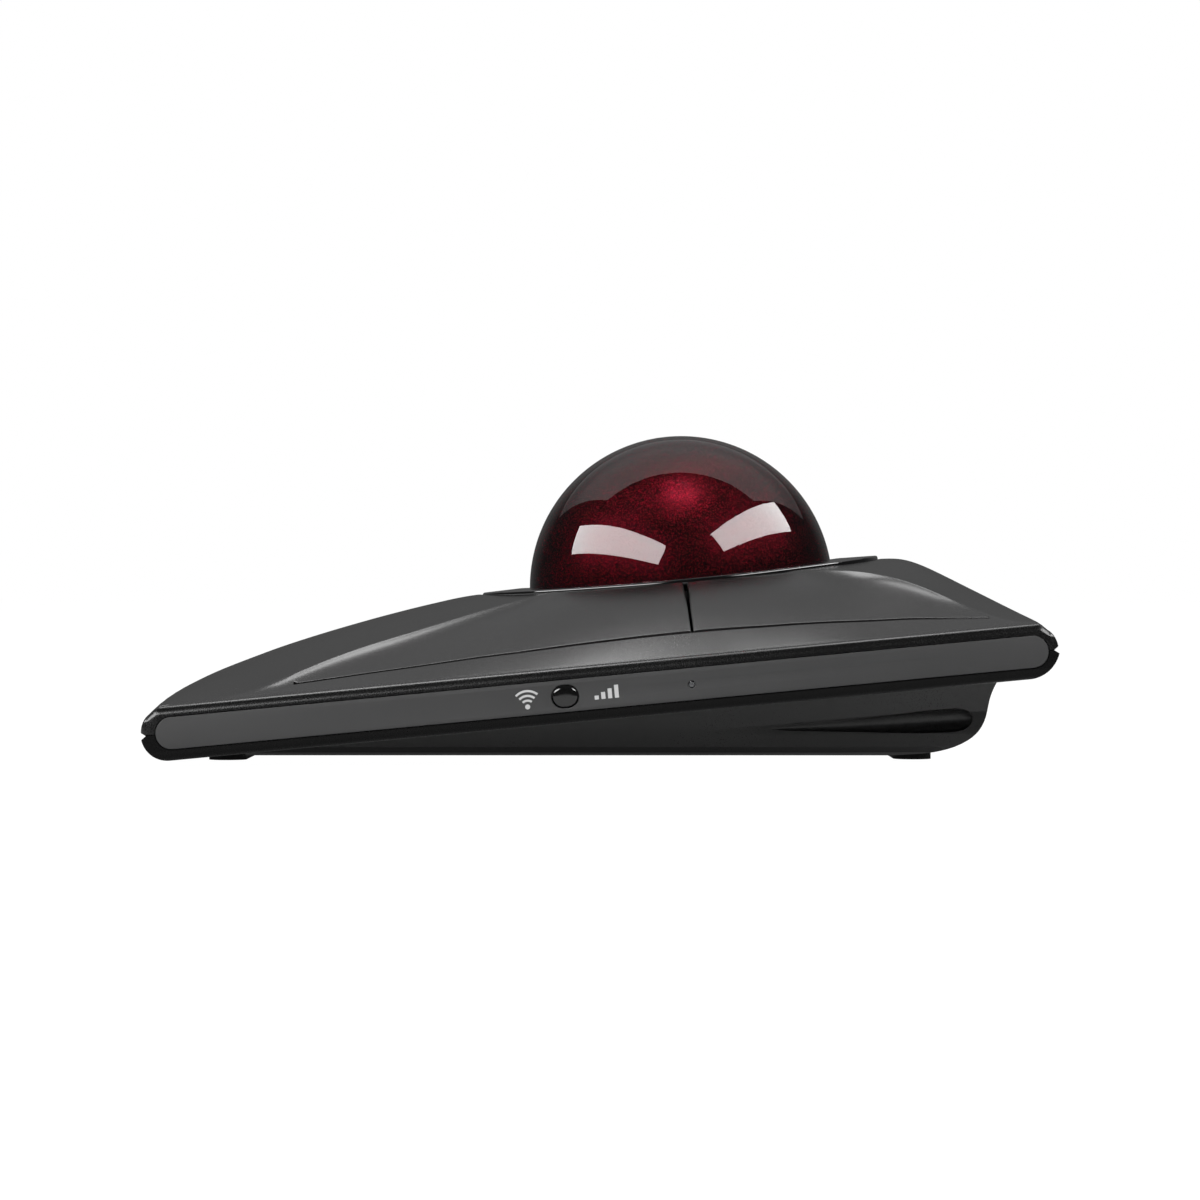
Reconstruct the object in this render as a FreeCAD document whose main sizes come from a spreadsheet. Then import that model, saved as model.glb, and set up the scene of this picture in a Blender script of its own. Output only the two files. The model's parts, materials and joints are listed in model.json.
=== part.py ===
import FreeCAD, Part
import math
import os
import re
import Sketcher

V = FreeCAD.Vector
Placement = FreeCAD.Placement
Rotation = FreeCAD.Rotation

doc = FreeCAD.newDocument("TrackballMouse")

# ---------------------------------------------------------------- driving sizes (mm, degrees)
CELLS = [
    ("deck_z", 12.35), ("tilt_deg", 5.404), ("origin_shift", 0.45),
    ("half_width", 66.0), ("half_depth", 76.54), ("bulge_front", 2.8), ("bulge_rear", 1.8),
    ("edge_r", 4.5), ("skin", 2.0), ("inner_half_width", 62.3), ("inner_half_depth", 72.6),
    ("ball_r", 27.5), ("ball_u", 16.32), ("ball_w", 16.01),
    ("core_r", 15.0), ("inner_layer_r", 19.0), ("flake_layer_r", 24.5), ("layer_gap", 0.1),
    ("ring_r", 36.0), ("ring_bore_r", 28.0), ("ring_low", 15.4), ("ring_high", 18.45), ("ring_rise", 0.2), ("ring_dome_r", 700.0),
    ("cup_in_r", 28.3), ("cup_out_r", 30.6), ("cup_low", -8.0), ("flange_low", 13.2),
    ("leg_r", 3.2), ("leg_at", 32.4),
    ("bearing_r", 1.25), ("bearing_at", 28.8), ("bearing_drop", 40.0), ("sensor_drop", 30.0), ("sensor_turn", 35.0),
    ("seam_u", 16.4), ("seam_gap", 0.5), ("hinge_front", -51.0), ("hinge_rear", 66.0), ("hinge_gap", 0.3),
    ("slot_gap", 0.45), ("button_ring_r", 36.45),
    ("board_low", -1.9), ("board_thick", 1.6), ("board_half", 55.0), ("board_front", -27.0), ("board_rear", 64.0),
    ("board_bore", 37.0),
    ("switch_w", 6.4), ("switch_l", 12.8), ("switch_d", 5.8),
    ("sw_front_x", 43.0), ("sw_front_u", -8.0), ("sw_rear_x", 45.0), ("sw_rear_u", 28.0),
    ("plunger_r", 1.1), ("plunger_top", 7.2), ("post_r", 1.6), ("post_gap", 0.12),
    ("strip_x", 64.8), ("strip_high", 2.88), ("strip_low", -2.75), ("strip_front", -74.2), ("strip_rear", 74.9),
    ("dpi_u", -5.8), ("dpi_long", 4.2), ("dpi_high", 3.5), ("dpi_out", 66.4), ("light_u", 15.3), ("light_r", 0.6),
    ("knob_long", 3.4), ("knob_high", 2.2), ("knob_travel", 2.0),
    ("base_z", 1.15), ("floor_z", 3.0), ("base_half", 46.0), ("base_in", 43.0),
    ("foot_long", 24.0), ("foot_wide", 6.5), ("foot_front_y", -64.6), ("foot_rear_y", 54.4), ("foot_x", 22.0),
    ("port_z", 8.0), ("port_wide", 8.94), ("port_high", 3.2), ("port_back", 65.6),
    ("bay_x", 33.4), ("bay_half", 7.9), ("bay_front", 22.0), ("bay_rear", 49.5), ("bay_top", 8.2),
    ("battery_half", 24.0), ("battery_front", -59.0), ("battery_rear", -30.0), ("battery_high", 3.6),
    ("screw_r", 1.05), ("screw_head_r", 2.2), ("pilot_r", 1.1),
]
sheet = doc.addObject("Spreadsheet::Sheet", "Dims")
for row, (word, value) in enumerate(CELLS, start=1):
    sheet.set("A%d" % row, word)
    sheet.set("B%d" % row, repr(float(value)))
    sheet.setAlias("B%d" % row, word)
doc.recompute()
ALIASES = {word for word, _ in CELLS}


def D(word):
    """The value in one cell of the sheet."""
    return float(sheet.get(word))


def ex(text):
    """An expression with every cell word written as a reference to the sheet."""
    if not isinstance(text, str):
        return repr(float(text))
    return re.sub(r"[A-Za-z_]\w*", lambda m: "Dims." + m.group(0) if m.group(0) in ALIASES else m.group(0), text)


# The slab that carries the ball and buttons is tilted, rear end up. Its frame is x, u (along it) and w (square to it).
SLAB = Placement(V(0, D("origin_shift"), D("deck_z")), Rotation(V(1, 0, 0), D("tilt_deg")))
ROW = Placement(V(0, D("origin_shift"), 0), Rotation())
NODES = []


def free(name, shape):
    """A feature whose shape comes from Part's own functions."""
    o = doc.addObject("Part::Feature", name)
    o.Shape = shape
    return o


def keep(name, source, frame):
    """The finished sub-part: one object with its own label and placement."""
    o = doc.addObject("Part::Compound", name)
    o.Links = source if isinstance(source, list) else [source]
    o.Placement = frame
    o.Label = name
    NODES.append((name, o))
    return o


def box(name, x0, x1, y0, y1, z0, z1):
    o = doc.addObject("Part::Box", name)
    for side, axis, lo, hi in (("Length", "x", x0, x1), ("Width", "y", y0, y1), ("Height", "z", z0, z1)):
        o.setExpression(side, "(%s)-(%s)" % (ex(hi), ex(lo)))
        o.setExpression("Placement.Base." + axis, ex(lo))
    return o


TURN = {"z": Rotation(), "x": Rotation(V(0, 1, 0), 90), "y": Rotation(V(1, 0, 0), -90), "-z": Rotation(V(1, 0, 0), 180)}


def rod(name, r, length, x, y, z, along="z"):
    o = doc.addObject("Part::Cylinder", name)
    o.Placement = Placement(V(0, 0, 0), TURN[along])
    o.setExpression("Radius", ex(r))
    o.setExpression("Height", ex(length))
    for axis, at in (("x", x), ("y", y), ("z", z)):
        o.setExpression("Placement.Base." + axis, ex(at))
    return o


def globe(name, r, x, y, z):
    o = doc.addObject("Part::Sphere", name)
    o.setExpression("Radius", ex(r))
    for axis, at in (("x", x), ("y", y), ("z", z)):
        o.setExpression("Placement.Base." + axis, ex(at))
    return o


def cut(name, base, *tools):
    o = doc.addObject("Part::Cut", name)
    o.Base = base
    if len(tools) == 1:
        o.Tool = tools[0]
    else:
        o.Tool = fuse(name + "_tools", *tools)
    return o


def fuse(name, *shapes):
    o = doc.addObject("Part::MultiFuse", name)
    o.Shapes = list(shapes)
    return o


def common(name, *shapes):
    o = doc.addObject("Part::MultiCommon", name)
    o.Shapes = list(shapes)
    return o


def mirror(name, source):
    o = doc.addObject("Part::Mirroring", name)
    o.Source = source
    o.Base = V(0, 0, 0)
    o.Normal = V(1, 0, 0)
    return o


def pchip(table, column):
    """A smooth curve through one column of a table whose first column rises, with no overshoot."""
    xs = [row[0] for row in table]
    ys = [row[column] for row in table]
    n = len(xs)
    h = [xs[i + 1] - xs[i] for i in range(n - 1)]
    d = [(ys[i + 1] - ys[i]) / h[i] for i in range(n - 1)]
    m = [d[0]] + [0.0] * (n - 2) + [d[-1]]
    for i in range(1, n - 1):
        if d[i - 1] * d[i] > 0:
            a, b = 2 * h[i] + h[i - 1], h[i] + 2 * h[i - 1]
            m[i] = (a + b) / (a / d[i - 1] + b / d[i])

    def at(x):
        x = min(max(x, xs[0]), xs[-1])
        i = 0
        while i < n - 2 and x > xs[i + 1]:
            i += 1
        s = (x - xs[i]) / h[i]
        return (ys[i] * (1 + 2 * s) * (1 - s) ** 2 + m[i] * h[i] * s * (1 - s) ** 2
                + ys[i + 1] * s * s * (3 - 2 * s) + m[i + 1] * h[i] * s * s * (s - 1))
    return at


# ---------------------------------------------------------------- crown of the slab
# u along the slab, height w of the centre line.
SPINE = [(-90, -2.6), (-79, 3.7), (-75.5, 5.7), (-72.7, 7.2), (-68.9, 8.75), (-65.2, 9.9), (-61.4, 10.95), (-57.7, 11.95),
         (-53.9, 12.85), (-50.2, 13.65), (-46.5, 14.4), (-42.8, 15.1), (-39.05, 15.78), (-35.3, 16.4), (-31.6, 16.97),
         (-27.9, 17.48), (-24.2, 17.95), (-20.5, 18.2), (-10, 18.25), (16, 18.2), (45, 18.0), (53.7, 17.75), (56.1, 17.5),
         (57.7, 17.0), (59.6, 16.1), (63.1, 14.0), (66.5, 11.8), (69.9, 9.55), (73.35, 6.9), (76.5, 3.1), (90, -14.0)]
# u, half-width of the spine at its crease, height of the crease, bulge of the facet outside it.
CREASE = [(-90, 63.2, 5.0, 0), (-62, 63.2, 5.0, 0), (-58, 62.0, 5.5, 0), (-55.6, 60.4, 6.2, 0), (-53.2, 58.2, 7.05, 0), (-50, 55.0, 8.2, 0),
          (-43.4, 49.6, 10.2, 0), (-36.6, 45.9, 11.8, 0.02), (-33.2, 44.0, 12.45, 0.06), (-26.4, 40.0, 13.85, 0.2), (-22.9, 37.8, 14.6, 0.27),
          (-15.9, 33.5, 16.0, 0.36), (-10.7, 30.3, 16.85, 0.4), (-7.1, 29.0, 17.3, 0.41), (0, 30.5, 17.6, 0.4), (8, 33.0, 17.72, 0.35),
          (16.4, 34.2, 17.76, 0.31), (25, 33.3, 17.66, 0.31), (30, 31.6, 17.45, 0.34), (35.8, 30.6, 17.15, 0.4), (40, 33.0, 16.95, 0.32),
          (44.9, 37.4, 16.35, 0.1), (49.7, 40.8, 15.25, 0), (52.85, 43.0, 14.15, 0), (55.9, 45.5, 12.75, 0), (58.8, 48.5, 11.1, 0),
          (61.7, 52.0, 9.3, 0), (64.6, 56.0, 7.45, 0), (67.5, 60.0, 6.0, 0), (70.5, 63.2, 5.0, 0), (90, 63.2, 5.0, 0)]
RIM_W = 4.7
spine_at = pchip(SPINE, 1)
crease_x, crease_w, facet_bulge = pchip(CREASE, 1), pchip(CREASE, 2), pchip(CREASE, 3)
STATIONS = [-88, -82, -78, -75, -72, -68, -64, -60, -56.5, -53, -49, -44, -38, -32, -26, -20, -14, -8, -2, 5, 12, 20, 27, 33, 38, 42.5,
            47, 51, 54.5, 57.5, 60.5, 63.5, 66.5, 69.5, 73, 77, 82, 88]


def crown(lower):
    """The solid under the crown surface, which is lowered by so much, down to well below the slab."""
    wires = []
    for u in STATIONS:
        c, xc, wc, g = spine_at(u) - lower, crease_x(u), crease_w(u) - lower, facet_bulge(u)
        wr = RIM_W - lower
        h = wc - wr
        p = {k: V(a, u, b) for k, a, b in (
            ("bl", -70, -40), ("br", 70, -40), ("r", 70, wr), ("rr", 64.4, wr), ("rc", xc, wc), ("lc", -xc, wc), ("lr", -64.4, wr), ("l", -70, wr))}

        def bez(*poles):
            curve = Part.BezierCurve()
            curve.setPoles(list(poles))
            return curve.toShape()

        mid = ((xc + 64.4) / 2, wr + h * (1 + g) / 2)
        edges = [Part.makeLine(p["bl"], p["br"]), Part.makeLine(p["br"], p["r"]), Part.makeLine(p["r"], p["rr"]),
                 bez(p["rr"], V(mid[0], u, mid[1]), p["rc"]), bez(p["rc"], V(0, u, 2 * c - wc), p["lc"]),
                 bez(p["lc"], V(-mid[0], u, mid[1]), p["lr"]), Part.makeLine(p["lr"], p["l"]), Part.makeLine(p["l"], p["bl"])]
        wires.append(Part.Wire(edges))
    return Part.makeLoft(wires, True, False)


def end_envelope(tip, bulge, front):
    """The rounded and grooved end of the slab, swept round the gentle bulge of that end."""
    r = D("edge_r")
    s = 1 if front else -1
    big = (D("half_width") ** 2 + bulge ** 2) / (2 * bulge)
    centre = tip + s * big
    phi = math.radians(51.0 if front else 45.0)
    groove = 0.6
    under = r if front else 6.0

    def P(a, b):
        return V(0, tip + s * a, b)

    ua = r - math.sqrt(r * r - groove * groove)
    top = (r - r * math.cos(phi), r * math.sin(phi))
    half = phi / 2 + math.asin(groove / r) / 2
    arc_top = Part.Arc(P(ua, groove), P(r - r * math.cos(half), r * math.sin(half)), P(*top)).toShape()
    reach = 36.0
    low = math.radians(50)
    arc_low = Part.Arc(P(ua, -groove), P(under * (1 - math.cos(low)), -r * math.sin(low)), P(under, -r)).toShape()
    up = P(top[0] + reach * math.sin(phi), top[1] + reach * math.cos(phi))
    far = 175.0
    wire = Part.Wire(Part.sortEdges([Part.makeLine(P(0.85, 0), P(ua, groove)), arc_top, Part.makeLine(P(*top), up),
                                     Part.makeLine(up, P(far, up.z)), Part.makeLine(P(far, up.z), P(far, -r)),
                                     Part.makeLine(P(far, -r), P(under, -r)), arc_low, Part.makeLine(P(ua, -groove), P(0.85, 0))])[0])
    face = Part.Face(wire)
    sweep = math.degrees(math.asin(74.0 / (big - far)))
    face.rotate(V(0, centre, 0), V(0, 0, 1), -sweep)
    return face.revolve(V(0, centre, 0), V(0, 0, 1), 2 * sweep)


def side_envelope():
    """The rounded long edges of the slab."""
    hw, e = D("half_width"), D("edge_r")

    def P(a, b):
        return V(a, -95, b)

    edges = []
    for s in (1, -1):
        edges += [Part.makeLine(P(s * hw, -2.9), P(s * hw, 2.9)), Part.Arc(P(s * hw, 2.9), P(s * (hw - 0.5), 4.12), P(s * (hw - 1.6), RIM_W)).toShape(),
                  Part.makeLine(P(s * (hw - 1.6), RIM_W), P(s * (hw - 1.6), 34)),
                  Part.Arc(P(s * hw, -2.9), P(s * (hw - 0.45), -4.03), P(s * (hw - 1.6), -e)).toShape()]
    edges += [Part.makeLine(P(-hw + 1.6, 34), P(hw - 1.6, 34)), Part.makeLine(P(-hw + 1.6, -e), P(hw - 1.6, -e))]
    face = Part.Face(Part.Wire(Part.sortEdges(edges)[0]))
    return face.extrude(V(0, 190, 0))


outer = crown(0.0)
outer = outer.common(end_envelope(-D("half_depth") - D("bulge_front"), D("bulge_front"), True))
outer = outer.common(side_envelope())
outer = outer.common(end_envelope(D("half_depth") + D("bulge_rear"), D("bulge_rear"), False))
inner = crown(D("skin"))
ihw, ihd = D("inner_half_width"), D("inner_half_depth")
inner = inner.common(Part.makeBox(2 * ihw, 2 * ihd, 40, V(-ihw, -ihd, -D("edge_r") + D("skin"))))

# ---------------------------------------------------------------- footprints of the buttons
SLOT = [(59.2, -52.5), (58.9, -50), (58.0, -42), (57.3, -33), (57.0, -16), (57.0, 0.8), (57.0, 28), (57.0, 44), (57.3, 51.4), (58.0, 58.1),
        (59.3, 64.6), (59.9, 67.5)]


def slot_prism(offset, u0, u1, x0):
    """From x0 out to the slot line moved by an offset, between two stations, right through the slab's height."""
    line = Part.BSplineCurve()
    line.interpolate([V(x + offset, u, -4) for x, u in SLOT])
    edges = [line.toShape(), Part.makeLine(V(SLOT[-1][0] + offset, SLOT[-1][1], -4), V(x0, SLOT[-1][1], -4)),
             Part.makeLine(V(x0, SLOT[-1][1], -4), V(x0, SLOT[0][1], -4)), Part.makeLine(V(x0, SLOT[0][1], -4), V(SLOT[0][0] + offset, SLOT[0][1], -4))]
    prism = Part.Face(Part.Wire(Part.sortEdges(edges)[0])).extrude(V(0, 0, 34))
    return prism.common(Part.makeBox(80, u1 - u0, 40, V(x0 - 1, u0, -6)))


g, hg = D("slot_gap") / 2, D("hinge_gap") / 2
hf, hr, seam, sg = D("hinge_front"), D("hinge_rear"), D("seam_u"), D("seam_gap") / 2
opening = slot_prism(g, hf - hg, hr + hg, -0.01)
opening = opening.fuse(opening.mirror(V(0, 0, 0), V(1, 0, 0))).removeSplitter()
centre = V(0, D("ball_u"), 0)

# ---------------------------------------------------------------- top cover, lower shell, buttons
above = Part.makeBox(160, 200, 60, V(-80, -100, 0))
below = Part.makeBox(160, 200, 20, V(-80, -100, -20))
skin = outer.cut(inner)
cover_blank = free("cover_blank", skin.common(above).cut(opening))
tray_blank = free("tray_blank", skin.common(below))


def strip_pocket(name, grow):
    """The room for a side strip: a plate with round ends, right side."""
    hi, lo = "(strip_high+%s)" % grow, "(strip_low-%s)" % grow
    r = "((strip_high-strip_low)/2+%s)" % grow
    mid = "(strip_high+strip_low)/2"
    plate = box(name + "_plate", "strip_x", "half_width+1", "strip_front+(strip_high-strip_low)/2", "strip_rear-(strip_high-strip_low)/2", lo, hi)
    front = rod(name + "_front", r, "half_width+1-strip_x", "strip_x", "strip_front+(strip_high-strip_low)/2", mid, "x")
    rear = rod(name + "_rear", r, "half_width+1-strip_x", "strip_x", "strip_rear-(strip_high-strip_low)/2", mid, "x")
    return fuse(name, plate, front, rear)


pocket_r = strip_pocket("pocket_right", 0.0)
pocket_l = mirror("pocket_left", pocket_r)
# holes behind the strips for the button, the light and the mode switch
dpi_hole = box("dpi_hole", "inner_half_width-2", "half_width+1", "dpi_u-dpi_long/2-0.2", "dpi_u+dpi_long/2+0.2", "-dpi_high/2-0.2", "dpi_high/2+0.2")
light_hole = rod("light_hole", "light_r+0.02", 8, "inner_half_width-2", "light_u", 0, "x")
mode_hole = box("mode_hole", "-half_width-1", "-inner_half_width+2", "dpi_u-knob_long/2-knob_travel-0.25", "dpi_u+knob_long/2+knob_travel+0.25",
                "-knob_high/2-0.2", "knob_high/2+0.2")
# screw bosses that join the two shells near their corners
BOSS = [(x, u) for x in (-55, 55) for u in (-66.0, 68.5)]
tray_bosses = [rod("tray_boss_%d" % i, 3.4, "edge_r-skin+0.2-0.2", x, u, "-edge_r+skin") for i, (x, u) in enumerate(BOSS)]
cover_bosses = [rod("cover_boss_%d" % i, 3.4, 4.6, x, u, 0) for i, (x, u) in enumerate(BOSS)]
boss_bores = [rod("boss_bore_%d" % i, "pilot_r", 8.0, x, u, "-edge_r-0.1") for i, (x, u) in enumerate(BOSS)]
boss_heads = [rod("boss_head_%d" % i, "screw_head_r+0.15", 1.4, x, u, "-edge_r-0.1") for i, (x, u) in enumerate(BOSS)]
floor_opening = box("floor_opening", -41, 41, -22, 61, "-edge_r-1", "-edge_r+skin+0.5")
board_posts = [rod("board_post_%d" % i, 3.0, "board_low+edge_r-skin", x, u, "-edge_r+skin") for i, (x, u) in enumerate(
    [(x, u) for x in (-50, 50) for u in (-20, 59)])]
board_bores = [rod("board_bore_%d" % i, "pilot_r", 3.4, x, u, "-edge_r+0.5") for i, (x, u) in enumerate(
    [(x, u) for x in (-50, 50) for u in (-20, 59)])]
tray = cut("tray_cut", fuse("tray_sum", tray_blank, *(tray_bosses + board_posts)), pocket_r, pocket_l, dpi_hole, light_hole, mode_hole,
           floor_opening, *(boss_bores + boss_heads + board_bores))
keep("lower_shell", tray, SLAB)
cover = cut("cover_cut", fuse("cover_sum", cover_blank, *cover_bosses), pocket_r, pocket_l, dpi_hole, light_hole, mode_hole, *boss_bores)
keep("top_cover", cover, SLAB)

ring_clear = rod("ring_clear", "button_ring_r", 40, 0, "ball_u", -5)
for end, u0, u1, sx, su in (("front", hf + hg, seam - sg, "sw_front_x", "sw_front_u"), ("rear", seam + sg, hr - hg, "sw_rear_x", "sw_rear_u")):
    blank = free("button_%s_blank" % end, skin.common(above).common(slot_prism(-g, u0, u1, sg)))
    inside = free("button_%s_inside" % end, inner.common(slot_prism(-g, u0, u1, sg)))
    # a post down to the switch plunger, trimmed by the inner face of the skin, and a stiffening rib beside it
    post = rod("post_" + end, "post_r", 14, sx, su, "plunger_top+post_gap")
    rib = box("rib_" + end, sx + "-8", sx + "+8", su + "-0.6", su + "+0.6", "plunger_top+post_gap+1.2", "plunger_top+14")
    inner_work = common("button_%s_post" % end, inside, fuse("button_%s_tree" % end, post, rib))
    solid = cut("button_%s_solid" % end, fuse("button_%s_sum" % end, blank, inner_work), ring_clear)
    keep("button_%s_right" % end, solid, SLAB)
    keep("button_%s_left" % end, mirror("button_%s_mirror" % end, solid), SLAB)

# ---------------------------------------------------------------- side strips, resolution button, status light, mode switch


def trim_strip(name, clear, *holes):
    lo, hi = "strip_low+%s" % clear, "strip_high-%s" % clear
    r = "((strip_high-strip_low)/2-%s)" % clear
    mid = "(strip_high+strip_low)/2"
    plate = box(name + "_plate", "strip_x+0.02", "half_width", "strip_front+(strip_high-strip_low)/2", "strip_rear-(strip_high-strip_low)/2", lo, hi)
    front = rod(name + "_front", r, "half_width-strip_x-0.02", "strip_x+0.02", "strip_front+(strip_high-strip_low)/2", mid, "x")
    rear = rod(name + "_rear", r, "half_width-strip_x-0.02", "strip_x+0.02", "strip_rear-(strip_high-strip_low)/2", mid, "x")
    return fuse(name, plate, front, rear)


strip_blank = trim_strip("strip_blank", 0.05)
# the resolution button: a stadium cap on a stem with a collar behind the wall
def stadium(name, r, half, x0, length, u):
    bar = box(name + "_bar", x0, x0 + "+(" + length + ")", u + "-(" + half + ")", u + "+(" + half + ")", "-(" + r + ")", r)
    ends = [rod(name + "_end_%d" % k, r, length, x0, u + sign + "(" + half + ")", 0, "x") for k, sign in enumerate(("-", "+"))]
    return fuse(name, bar, *ends)


dpi_cut = stadium("dpi_cut", "dpi_high/2+0.12", "(dpi_long-dpi_high)/2", "strip_x-1", "4", "dpi_u")
strip_light = rod("strip_light", "light_r+0.02", 4, "strip_x-1", "light_u", 0, "x")
keep("side_strip_right", cut("strip_right_cut", strip_blank, dpi_cut, strip_light), SLAB)
knob_cut = box("knob_cut", "-half_width-1", "-strip_x+1", "dpi_u-knob_long/2-knob_travel-0.15", "dpi_u+knob_long/2+knob_travel+0.15",
               "-knob_high/2-0.1", "knob_high/2+0.1")
keep("side_strip_left", cut("strip_left_cut", mirror("strip_left_blank", strip_blank), knob_cut), SLAB)
dpi_cap = stadium("dpi_cap", "dpi_high/2", "(dpi_long-dpi_high)/2", "inner_half_width+0.3", "dpi_out-inner_half_width-0.3", "dpi_u")
dpi_collar = box("dpi_collar", "inner_half_width-1.0", "inner_half_width-0.1", "dpi_u-dpi_long/2-0.9", "dpi_u+dpi_long/2+0.9", "-dpi_high/2-0.0", "dpi_high/2")
dpi_neck = box("dpi_neck", "inner_half_width-0.2", "inner_half_width+0.4", "dpi_u-1.4", "dpi_u+1.4", -1.4, 1.4)
keep("resolution_button", fuse("dpi_sum", dpi_cap, dpi_collar, dpi_neck), SLAB)
tact = fuse("tact_sum", box("tact_case", "board_half+0.2", "board_half+4.4", "dpi_u-2.2", "dpi_u+2.2", "board_low+board_thick", "board_low+board_thick+3.2"),
            rod("tact_stem", 0.8, 1.2, "board_half+4.4", "dpi_u", "board_low+board_thick+1.6", "x"))
keep("tact_switch", tact, SLAB)
keep("status_light_pipe", rod("light_rod", "light_r", "half_width-inner_half_width+2.4", "inner_half_width-2.4", "light_u", 0, "x"), SLAB)
keep("status_led", fuse("led_sum", box("led_case", "board_half-1", "board_half+1.2", "light_u-0.9", "light_u+0.9", "board_low+board_thick", "board_low+board_thick+1.3"),
                        box("led_lens", "board_half+1.2", "board_half+1.8", "light_u-0.6", "light_u+0.6", "board_low+board_thick+0.1", "board_low+board_thick+1.2")), SLAB)
knob = fuse("knob_sum", box("knob_cap", "-half_width-0.4", "-inner_half_width-0.3", "dpi_u-knob_long/2", "dpi_u+knob_long/2", "-knob_high/2", "knob_high/2"),
            box("knob_stem", "-inner_half_width-0.4", "-inner_half_width+2.0", "dpi_u-0.7", "dpi_u+0.7", -0.7, 0.7))
keep("mode_knob", knob, SLAB)
mode = cut("mode_cut", box("mode_case", "-inner_half_width+0.5", "-inner_half_width+5.5", "dpi_u-5", "dpi_u+5", "-1.8", "1.9"),
           box("mode_slot", "-inner_half_width-1", "-inner_half_width+2.3", "dpi_u-0.7-knob_travel-0.2", "dpi_u+0.7+knob_travel+0.2", -0.9, 0.9))
keep("mode_switch", mode, SLAB)

# ---------------------------------------------------------------- bezel ring: one sketch revolved about the ball's axis


def plane_of(body, role):
    return [f for f in body.Origin.OriginFeatures if f.Role == role][0]


def sketch_loop(body, name, role, points, names=None):
    """A closed loop of straight lines, each corner fixed by two distances that read the sheet."""
    sk = body.newObject("Sketcher::SketchObject", name)
    sk.AttachmentSupport = [(plane_of(body, role), "")]
    sk.MapMode = "FlatFace"
    value = [[float(eval_cell(c)) for c in p] for p in points]
    n = len(points)
    for i in range(n):
        a, b = value[i], value[(i + 1) % n]
        sk.addGeometry(Part.LineSegment(V(a[0], a[1], 0), V(b[0], b[1], 0)), False)
    for i in range(n):
        sk.addConstraint(Sketcher.Constraint("Coincident", i, 2, (i + 1) % n, 1))
    for i in range(n):
        for kind, k in (("DistanceX", 0), ("DistanceY", 1)):
            at = sk.addConstraint(Sketcher.Constraint(kind, -1, 1, i, 1, value[i][k]))
            if isinstance(points[i][k], str):
                sk.setExpression("Constraints[%d]" % at, ex(points[i][k]))
    return sk


def eval_cell(text):
    """The number that a plain sum of cell words comes to."""
    if not isinstance(text, str):
        return text
    total = 0.0
    for sign, token in re.findall(r"([+-]?)\s*([A-Za-z_]\w*|[0-9.]+)", text):
        total += (-1 if sign == "-" else 1) * (D(token) if token in ALIASES else float(token))
    return total


body = doc.addObject("PartDesign::Body", "ring_body")
sk = sketch_loop(body, "ring_section", "XZ_Plane",
                 [("ring_bore_r", "ring_low"), ("ring_r-0.9", "ring_low"), ("ring_r", "ring_low+1.0"), ("ring_r", "ring_high-0.3"), ("ring_r-0.3", "ring_high"),
                  ("ring_bore_r+0.5", "ring_high+ring_rise"), ("ring_bore_r", "ring_high+ring_rise-0.4")])
turn = body.newObject("PartDesign::Revolution", "ring_turn")
turn.Profile = sk
turn.ReferenceAxis = (sk, ["V_Axis"])
turn.Angle = 360.0
body.Tip = turn
# its top follows the crown, so it is lower at the sides than in front and behind
ring_dome = rod("ring_dome", "ring_dome_r", 90, 0, -45, "ring_high+ring_rise-ring_dome_r", "y")
keep("bezel_ring", common("ring_shape", body, ring_dome), SLAB.multiply(Placement(V(0, D("ball_u"), 0), Rotation())))

# ---------------------------------------------------------------- ball: concentric cast layers, each turning about one axis
BALL = ("0", "ball_u", "ball_w")
keep("ball_core", globe("core_globe", "core_r", *BALL), SLAB)
keep("ball_inner_layer", cut("inner_layer_cut", globe("inner_layer_out", "inner_layer_r", *BALL), globe("inner_layer_in", "core_r+layer_gap", *BALL)), SLAB)
keep("ball_flake_layer", cut("flake_layer_cut", globe("flake_layer_out", "flake_layer_r", *BALL), globe("flake_layer_in", "inner_layer_r+layer_gap", *BALL)), SLAB)
keep("ball_shell", cut("shell_cut", globe("shell_out", "ball_r", *BALL), globe("shell_in", "flake_layer_r+layer_gap", *BALL)), SLAB)

# ---------------------------------------------------------------- ball cup with its flange, legs, bearings and sensor windows
cup_zone = common("cup_zone", cut("cup_wall", globe("cup_out", "cup_out_r", *BALL), globe("cup_in", "cup_in_r", *BALL)),
                  box("cup_band", -50, 50, -40, 70, "cup_low", "ring_low"))
flange = cut("flange_cut", rod("flange_disc", "ring_r-0.6", "ring_low-flange_low", 0, "ball_u", "flange_low"),
             rod("flange_bore", "cup_in_r+0.2", 10, 0, "ball_u", "flange_low-2"))
LEGS = [(1, 0), (0, 1), (-1, 0), (0, -1)]
legs = [rod("leg_%d" % i, "leg_r", 34, "leg_at*%d" % a, "ball_u+leg_at*%d" % b, "flange_low+1-34") for i, (a, b) in enumerate(LEGS)]
turn_back = Placement(SLAB).inverse().multiply(ROW)
under_floor = Part.makeBox(200, 200, 40, V(-100, -100, D("floor_z") - 40))
under_floor.Placement = turn_back
floor_cutter = free("floor_cutter", under_floor)
ball_centre = V(0, D("ball_u"), D("ball_w"))


def around(turn_deg, drop_deg, reach):
    """A point on a sphere about the ball: turn is from +X towards the rear, drop is below the equator."""
    a, b = math.radians(turn_deg), math.radians(drop_deg)
    return ball_centre + V(math.cos(a) * math.cos(b), math.sin(a) * math.cos(b), -math.sin(b)) * reach


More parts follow.
